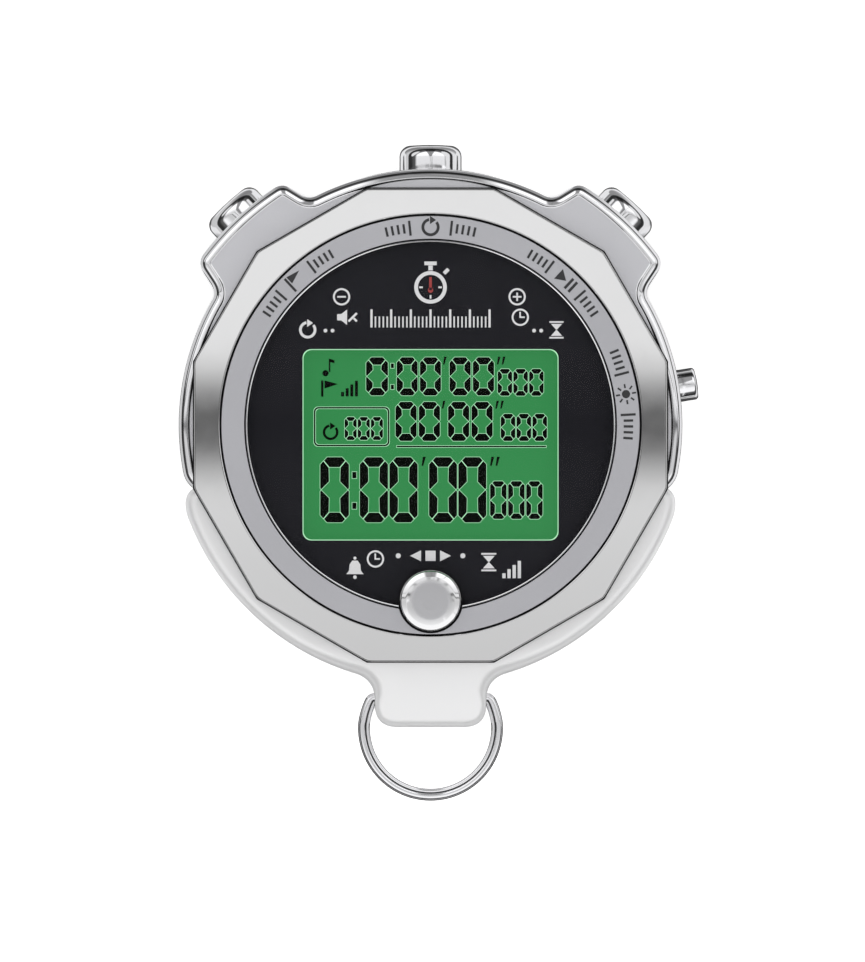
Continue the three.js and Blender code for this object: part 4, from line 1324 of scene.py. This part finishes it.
def build_spring(pusher, matrix, z0, z1, size):
    """A return spring, built at rest with a mesh of its own. The real one shortens towards its seat as the
    pusher goes in.
    """
    radius, wire, turns, travel = size
    name = pusher + "_spring"
    spring = tube(name + "_coil", helix(radius, z0 + wire, z1 - wire, turns), round_outline(wire, 10))
    place(spring, matrix)
    finish_piece(spring, "case", "spring", "spring_steel", name)
    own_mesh(spring)


def build_springs():
    for name, (clock, radius, face, underside, seat) in PUSHERS.items():
        top, size = (face - 1.6, LARGE_SPRING) if is_large(radius) else (underside, SMALL_SPRING)
        build_spring(name, radial_matrix(clock), seat + 0.05, top - 0.05, size)
    build_spring("mode", MODE_PLACE, MODE_SPRING_LOW, MODE_SPRING_HIGH, MODE_SPRING)


# ---------- back ----------


SCREW_TURN = 23


def screw_places():
    """Each cover screw's number and its place on the back plane."""
    for i in range(1, 5):
        low, high = box_mm(f"back_screw_{i}")
        yield i, Vector((*((low + high) / 2).xy, 0))


def build_cover():
    """The brushed cover, with a sunken line near its rim and a countersunk hole for each screw."""
    outer, thickness = COVER_HIGH.x, COVER_HIGH.z
    profile = fillet([
        (0, 0.0), (1.0, 0.0), (outer - 5.2, 0.0), (outer - 4.8, 0.0), (outer - 2.9, 0.0, 0.1),
        (outer - 2.7, 0.16, 0.08), (outer - 2.3, 0.16, 0.08), (outer - 2.1, 0.0, 0.1),
        (outer - 0.45, 0.0, 0.15), (outer, 0.45, 0.15), (outer, thickness), (0, thickness),
    ], 4)
    cover = lathe("cover_plate", profile)
    sink = [(0, -0.5), (1.85, -0.5), (1.85, 0.2), (1.0, 1.05), (1.0, 3), (0, 3)]
    sinks = []
    for _, centre in screw_places():
        sinks.append(place(lathe("sink", sink, SMALL_ROUND), Matrix.Translation(centre)))
    cut(cover, sinks)
    even_normals(cover)
    finish_piece(cover, "case", "back", "brushed_steel", "back_cover")


def build_cover_screws():
    """Four screws with cross-shaped recesses, each turned a different way."""
    profile = fillet([
        (0, 0.08), (1.7, 0.08, 0.12), (1.68, 0.25, 0.05), (0.75, 1.12, 0.1), (0.75, 4.9, 0.2),
        (0.3, 5.15, 0.1), (0, 5.15),
    ], 4)
    for i, centre in screw_places():
        screw = lathe(f"cover_screw_{i}", profile, SMALL_ROUND)
        arms = []
        for width, height in ((2.0, 0.4), (0.4, 2.0)):
            arms.append(prisms("arm", [rounded_rectangle(0, 0, width, height, 0.12, 4)], -1, 0.5))
        cut(screw, arms)
        place(screw, Matrix.Translation(centre) @ Matrix.Rotation(math.radians(SCREW_TURN * i), 4, "Z"))
        finish_piece(screw, "case", "cell", "cell_steel", f"back_screw_{i}")


# ---------- inner pieces that keep their CAD shape ----------

INNER_LOOKS = {
    "lcd_frame": "white_plastic", "backlight_panel": "white_plastic", "backlight_led": "lamp",
    "zebra_strip_upper": "rubber", "zebra_strip_lower": "rubber", "circuit_board": "board",
    "controller_chip": "black_plastic", "quartz_crystal": "cell", "coin_cell": "cell",
    "battery_holder": "black_plastic", "battery_contact": "spring", "buzzer_disc": "brass",
    "buzzer_spring_left": "spring", "buzzer_spring_right": "spring", "back_gasket": "rubber",
}


def dress_inner_nodes():
    looks = dict(INNER_LOOKS)
    for i in range(1, 5):
        looks[f"board_screw_{i}"] = "cell"
    for name in [*PUSHERS, "mode"]:
        looks[name + "_seal"] = "rubber"
        looks[name + "_clip"] = "spring"
        looks[name + "_switch"] = "black_plastic"
    for node, look in looks.items():
        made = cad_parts[node]
        made.data.materials.clear()
        made.data.materials.append(MATERIALS[look])


# ---------- stage ----------

# Lengths from here on are metres, but for the camera's sensor. Brightness 1 is full white.
CAMERA_HEIGHT = 3.0
VIEW_CENTRE = Vector((0.25, -7.1)) * MM
VIEW_HEIGHT = 122.2 * MM
FOCUS_Z = 17 * MM
SENSOR_WIDTH = 36
PANEL_HEIGHT, PANEL_SIZE = 0.30, 3.4
# Each floor is a little below the back cover, so that none of them coincide.
FLOOR_Z, MIRRORED_FLOOR_Z, FLOOR_SIZE = -0.0001, -0.001, 6
TINY = 1e-4

# Brightness of the overhead light along Y: a soft dark gap crosses the middle.
PANEL_LEVELS = (
    (-0.35, 1.1), (-0.14, 1.05), (-0.06, 0.68), (-0.036, 0.64), (-0.021, 0.68), (-0.0097, 0.74),
    (-0.0072, 0.69), (-0.0042, 0.32), (-0.0014, 0.12), (0.0014, 0.11), (0.0042, 0.17), (0.0069, 0.51),
    (0.0097, 0.82), (0.0125, 0.85), (0.06, 0.88), (0.16, 1.3), (0.35, 1.3),
)
# Brightness by distance from the middle: on the overhead light, then on the floor that metal mirrors, all
# round and towards the bottom of the dial.
PANEL_FALLOFF = ((0.0, 1.0), (0.38, 1.0), (0.5, 0.12), (1.0, 0.04), (1.6, 0.02))
FLOOR_FALLOFF = ((0.0, 0.05), (0.041, 0.07), (0.047, 0.85), (0.25, 0.9), (0.7, 0.25), (1.1, 0.03))
FLOOR_FALLOFF_LOW = ((0.0, 0.04), (0.080, 0.06), (0.105, 0.85), (0.25, 0.9), (0.7, 0.25), (1.1, 0.03))
# Strips of the overhead light, each aimed at one pusher: its clock angle, where the strip starts and ends
# along that direction, then brightness across it from left to right, looking outwards from the middle.
PUSHER_STRIPS = (
    (0.0, 0.0352, 0.045, (
        (-1.7, 0.08), (-0.36, 0.10), (-0.31, 0.55), (-0.11, 0.62), (-0.09, 0.38), (0.07, 0.40), (0.10, 0.22),
        (0.25, 0.16), (0.30, 1.2), (1.7, 1.2),
    )),
    (42.5, 0.0397, 0.048, (
        (-1.7, 0.1), (-0.6, 0.1), (-0.45, 1.2), (-0.12, 1.2), (-0.08, 0.5), (0.0, 0.35), (0.06, 0.12),
        (0.1, 0.6), (0.4, 0.8), (0.6, 0.6), (1.7, 0.1),
    )),
    (-42.5, 0.0397, 0.048, (
        (-1.7, 0.4), (-0.6, 0.9), (-0.2, 1.1), (-0.08, 1.1), (-0.05, 0.12), (-0.02, 0.6), (0.06, 0.9),
        (0.18, 0.5), (0.25, 0.12), (0.45, 0.12), (0.55, 1.2), (1.3, 1.2), (1.7, 0.2),
    )),
    (81.0, 0.0352, 0.043, (
        (-1.7, 0.1), (-0.3, 0.16), (-0.04, 0.25), (0.0, 0.5), (0.06, 1.1), (1.0, 1.1), (1.7, 0.8),
    )),
)
PANEL_STRIP_REACH = 4.0
# The same for the mirrored floor. Each strip is dark under a large cap and bright to both sides of it.
BESIDE_CAP = (
    (-0.02, 0.9), (-0.010, 0.9), (-0.0088, 0.08), (0.0, 0.1), (0.0088, 0.12), (0.010, 0.9), (0.02, 0.9),
)
FLOOR_STRIPS = (
    (0.0, 0.031, 0.043, BESIDE_CAP), (42.5, 0.0358, 0.044, BESIDE_CAP), (-42.5, 0.0358, 0.044, BESIDE_CAP),
)
FLOOR_STRIP_REACH = 0.045
STRIP_BLUR = 0.0015
# Brightness of the mirrored floor towards the top of the dial and to its left, as shares of the rest.
FLOOR_TOP_LEVEL, FLOOR_LEFT_LEVEL = 0.35, 0.75
# Within this distance from the middle the mirrored floor is bright, for the back cover just above it. Then
# its brightness by y: from, to, at the start and at the end.
COVER_LIT_RADIUS = 0.0295
COVER_LEVELS = (-0.03, 0.03, 0.9, 0.55)
# A dim column of the overhead light towards the top: the slopes x / y of its edge, outer then inner, the
# distances along y over which it sets in, and its brightness as a share of the rest.
COLUMN_SLOPES = (0.3, 0.2)
COLUMN_START = (0.05, 0.08)
COLUMN_LEVEL = 0.25
# Two bright patches low on the horizon: x, y, and their half widths.
PATCHES = ((-0.85, 0.46, 0.5, 0.34), (0.85, 0.36, 0.55, 0.44))
PATCH_LEVEL = 0.85
# Brightness of the room by the height of the direction looked in, from straight down to straight up.
WORLD_LEVELS = ((-1.0, 0.9), (-0.2, 0.6), (-0.02, 0.05), (0.16, 0.03), (0.3, 0.5), (0.6, 0.95), (1.0, 0.95))


def emission(name):
    """A glowing material, its nodes and its light's inputs."""
    material = bpy.data.materials.new(name)
    material.use_nodes = True
    nodes = Nodes(material.node_tree)
    nodes.tree.nodes.clear()
    light = nodes.add("Emission", {})
    nodes.add("OutputMaterial", {"Surface": light.outputs[0]})
    return material, nodes, light.inputs


def position(nodes):
    """The point's X, its Y, and its distance from the middle."""
    split = nodes.add("SeparateXYZ", {"Vector": nodes.coordinate()})
    x, y = split.outputs["X"], split.outputs["Y"]
    return x, y, nodes.math("SQRT", nodes.square_sum(x, y))


def heading_share(nodes, across, distance, start, end):
    """0 to 1 as the heading of a point, its share of the distance along an axis, passes from start to end."""
    heading = nodes.math("DIVIDE", across, nodes.math("MAXIMUM", distance, TINY))
    return nodes.map(heading, start, end, smooth=True)


def with_strip(nodes, level, x, y, strip, reach):
    """Lays a strip of its own brightness over a level, as far as its reach to each side."""
    clock, start, end, stops = strip
    sine, cosine = math.sin(math.radians(clock)), math.cos(math.radians(clock))
    out = nodes.math("ADD", nodes.math("MULTIPLY", x, sine), nodes.math("MULTIPLY", y, cosine))
    across = nodes.math("SUBTRACT", nodes.math("MULTIPLY", x, cosine), nodes.math("MULTIPLY", y, sine))
    past_start = nodes.map(out, start, start + STRIP_BLUR)
    before_end = nodes.map(out, end, end - STRIP_BLUR)
    within_reach = nodes.map(nodes.math("ABSOLUTE", across), reach, reach * 0.9)
    inside = nodes.math("MULTIPLY", nodes.math("MULTIPLY", past_start, before_end), within_reach)
    return nodes.mix(inside, level, nodes.levels(across, stops))


def card(name, z, size, material, *hidden_from):
    """A flat square stage card, size in metres, which the named kinds of rays don't see."""
    mesh = bpy.data.meshes.new(name)
    a = size / 2
    mesh.from_pydata([(-a, -a, 0), (a, -a, 0), (a, a, 0), (-a, a, 0)], [], [(0, 1, 2, 3)])
    mesh.materials.append(material)
    made = linked(name, mesh)
    made.location.z = z
    for rays in hidden_from:
        setattr(made, "visible_" + rays, False)


def panel_material():
    """The overhead light: its gap across the middle, its strips, and two patches in the darkness far out."""
    material, nodes, light = emission("overhead_panel")
    x, y, distance = position(nodes)
    level = nodes.math("MULTIPLY", nodes.levels(y, PANEL_LEVELS), nodes.levels(distance, PANEL_FALLOFF))
    straight_up = nodes.math("DIVIDE", nodes.math("ABSOLUTE", x), nodes.math("MAXIMUM", y, TINY))
    in_column = nodes.math("MULTIPLY", nodes.map(straight_up, *COLUMN_SLOPES), nodes.map(y, *COLUMN_START))
    level = nodes.math("MULTIPLY", level, nodes.mix(in_column, 1.0, COLUMN_LEVEL))
    for strip in PUSHER_STRIPS:
        level = with_strip(nodes, level, x, y, strip, PANEL_STRIP_REACH)
    for centre_x, centre_y, half_x, half_y in PATCHES:
        across = nodes.math("DIVIDE", nodes.math("SUBTRACT", x, centre_x), half_x)
        along = nodes.math("DIVIDE", nodes.math("SUBTRACT", y, centre_y), half_y)
        in_patch = nodes.map(nodes.square_sum(across, along), 1.0, 0.8)
        level = nodes.mix(in_patch, level, PATCH_LEVEL)
    nodes.fill(light, {"Color": level})
    return material


def mirrored_floor_material():
    """What polished sides see below them: dark close by, bright further out, dimmer to the top and left."""
    material, nodes, light = emission("mirrored_floor")
    x, y, distance = position(nodes)
    to_top = heading_share(nodes, y, distance, 0.7, 0.95)
    to_bottom = heading_share(nodes, y, distance, -0.6, -0.8)
    to_right = heading_share(nodes, x, distance, -0.7, 0.3)
    elsewhere, below = nodes.levels(distance, FLOOR_FALLOFF), nodes.levels(distance, FLOOR_FALLOFF_LOW)
    level = nodes.mix(to_bottom, elsewhere, below)
    level = nodes.math("MULTIPLY", level, nodes.mix(to_top, 1.0, FLOOR_TOP_LEVEL))
    level = nodes.math("MULTIPLY", level, nodes.mix(to_right, FLOOR_LEFT_LEVEL, 1.0))
    for strip in FLOOR_STRIPS:
        level = with_strip(nodes, level, x, y, strip, FLOOR_STRIP_REACH)
    under_cover = nodes.map(distance, COVER_LIT_RADIUS, COVER_LIT_RADIUS - 0.001)
    level = nodes.mix(under_cover, level, nodes.map(y, *COVER_LEVELS))
    nodes.fill(light, {"Color": level})
    return material


def build_world():
    """A pale room with a dark horizon."""
    world = bpy.data.worlds.new("studio")
    bpy.context.scene.world = world
    world.use_nodes = True
    nodes = Nodes(world.node_tree)
    height = nodes.add("SeparateXYZ", {"Vector": nodes.coordinate("Generated")}).outputs["Z"]
    nodes.fill(world.node_tree.nodes["Background"].inputs, {"Color": nodes.levels(height, WORLD_LEVELS)})


def floor_material():
    """Pale, and clear from below, so that the underside can be looked at."""
    material, nodes, shader = new_material("pale_floor")
    nodes.fill(shader, {
        "Base Color": nodes.tint(nodes.noise(8.0), (0.88, 0.88, 0.88), (0.90, 0.90, 0.90)),
        "Roughness": 0.7,
        "Specular IOR Level": 0.1,
        "Emission Color": (1, 1, 1, 1),
        "Emission Strength": 0.6,
    })
    from_above = material.node_tree.nodes["Principled BSDF"].outputs["BSDF"]
    from_below = nodes.add("BsdfTransparent", {}).outputs["BSDF"]
    side = nodes.add("NewGeometry", {}).outputs["Backfacing"]
    either = nodes.add("MixShader", {"Fac": side, 1: from_above, 2: from_below}).outputs["Shader"]
    nodes.fill(material.node_tree.nodes["Material Output"].inputs, {"Surface": either})
    return material


def build_stage():
    """The floor, the floor as metal mirrors it, the overhead light and the room."""
    card("floor", FLOOR_Z, FLOOR_SIZE, floor_material(), "glossy")
    card("mirrored_floor", MIRRORED_FLOOR_Z, FLOOR_SIZE, mirrored_floor_material(), "camera", "diffuse")
    card("overhead", PANEL_HEIGHT, PANEL_SIZE, panel_material(), "camera", "diffuse", "shadow")
    build_world()


def build_camera():
    """Straight above the dial, as in the photograph."""
    data = bpy.data.cameras.new("camera")
    camera = linked("camera", data)
    camera.location = (VIEW_CENTRE.x, VIEW_CENTRE.y, CAMERA_HEIGHT)
    data.sensor_width = SENSOR_WIDTH
    data.lens = SENSOR_WIDTH * (CAMERA_HEIGHT - FOCUS_Z) / VIEW_HEIGHT
    data.clip_start = 0.01
    bpy.context.scene.camera = camera


# ---------- build ----------

bpy.context.scene.view_settings.view_transform = "Standard"
build_camera()
build_stage()
build_case()
build_bezel()
build_bezel_seal_and_shade()
build_ring()
build_mode_lobe()
build_mode_shade_sleeve()
build_lens()
build_dial()
build_display()
build_side_pushers()
build_mode_button()
build_springs()
build_bail()
build_cover()
build_cover_screws()
dress_inner_nodes()
build_prints()
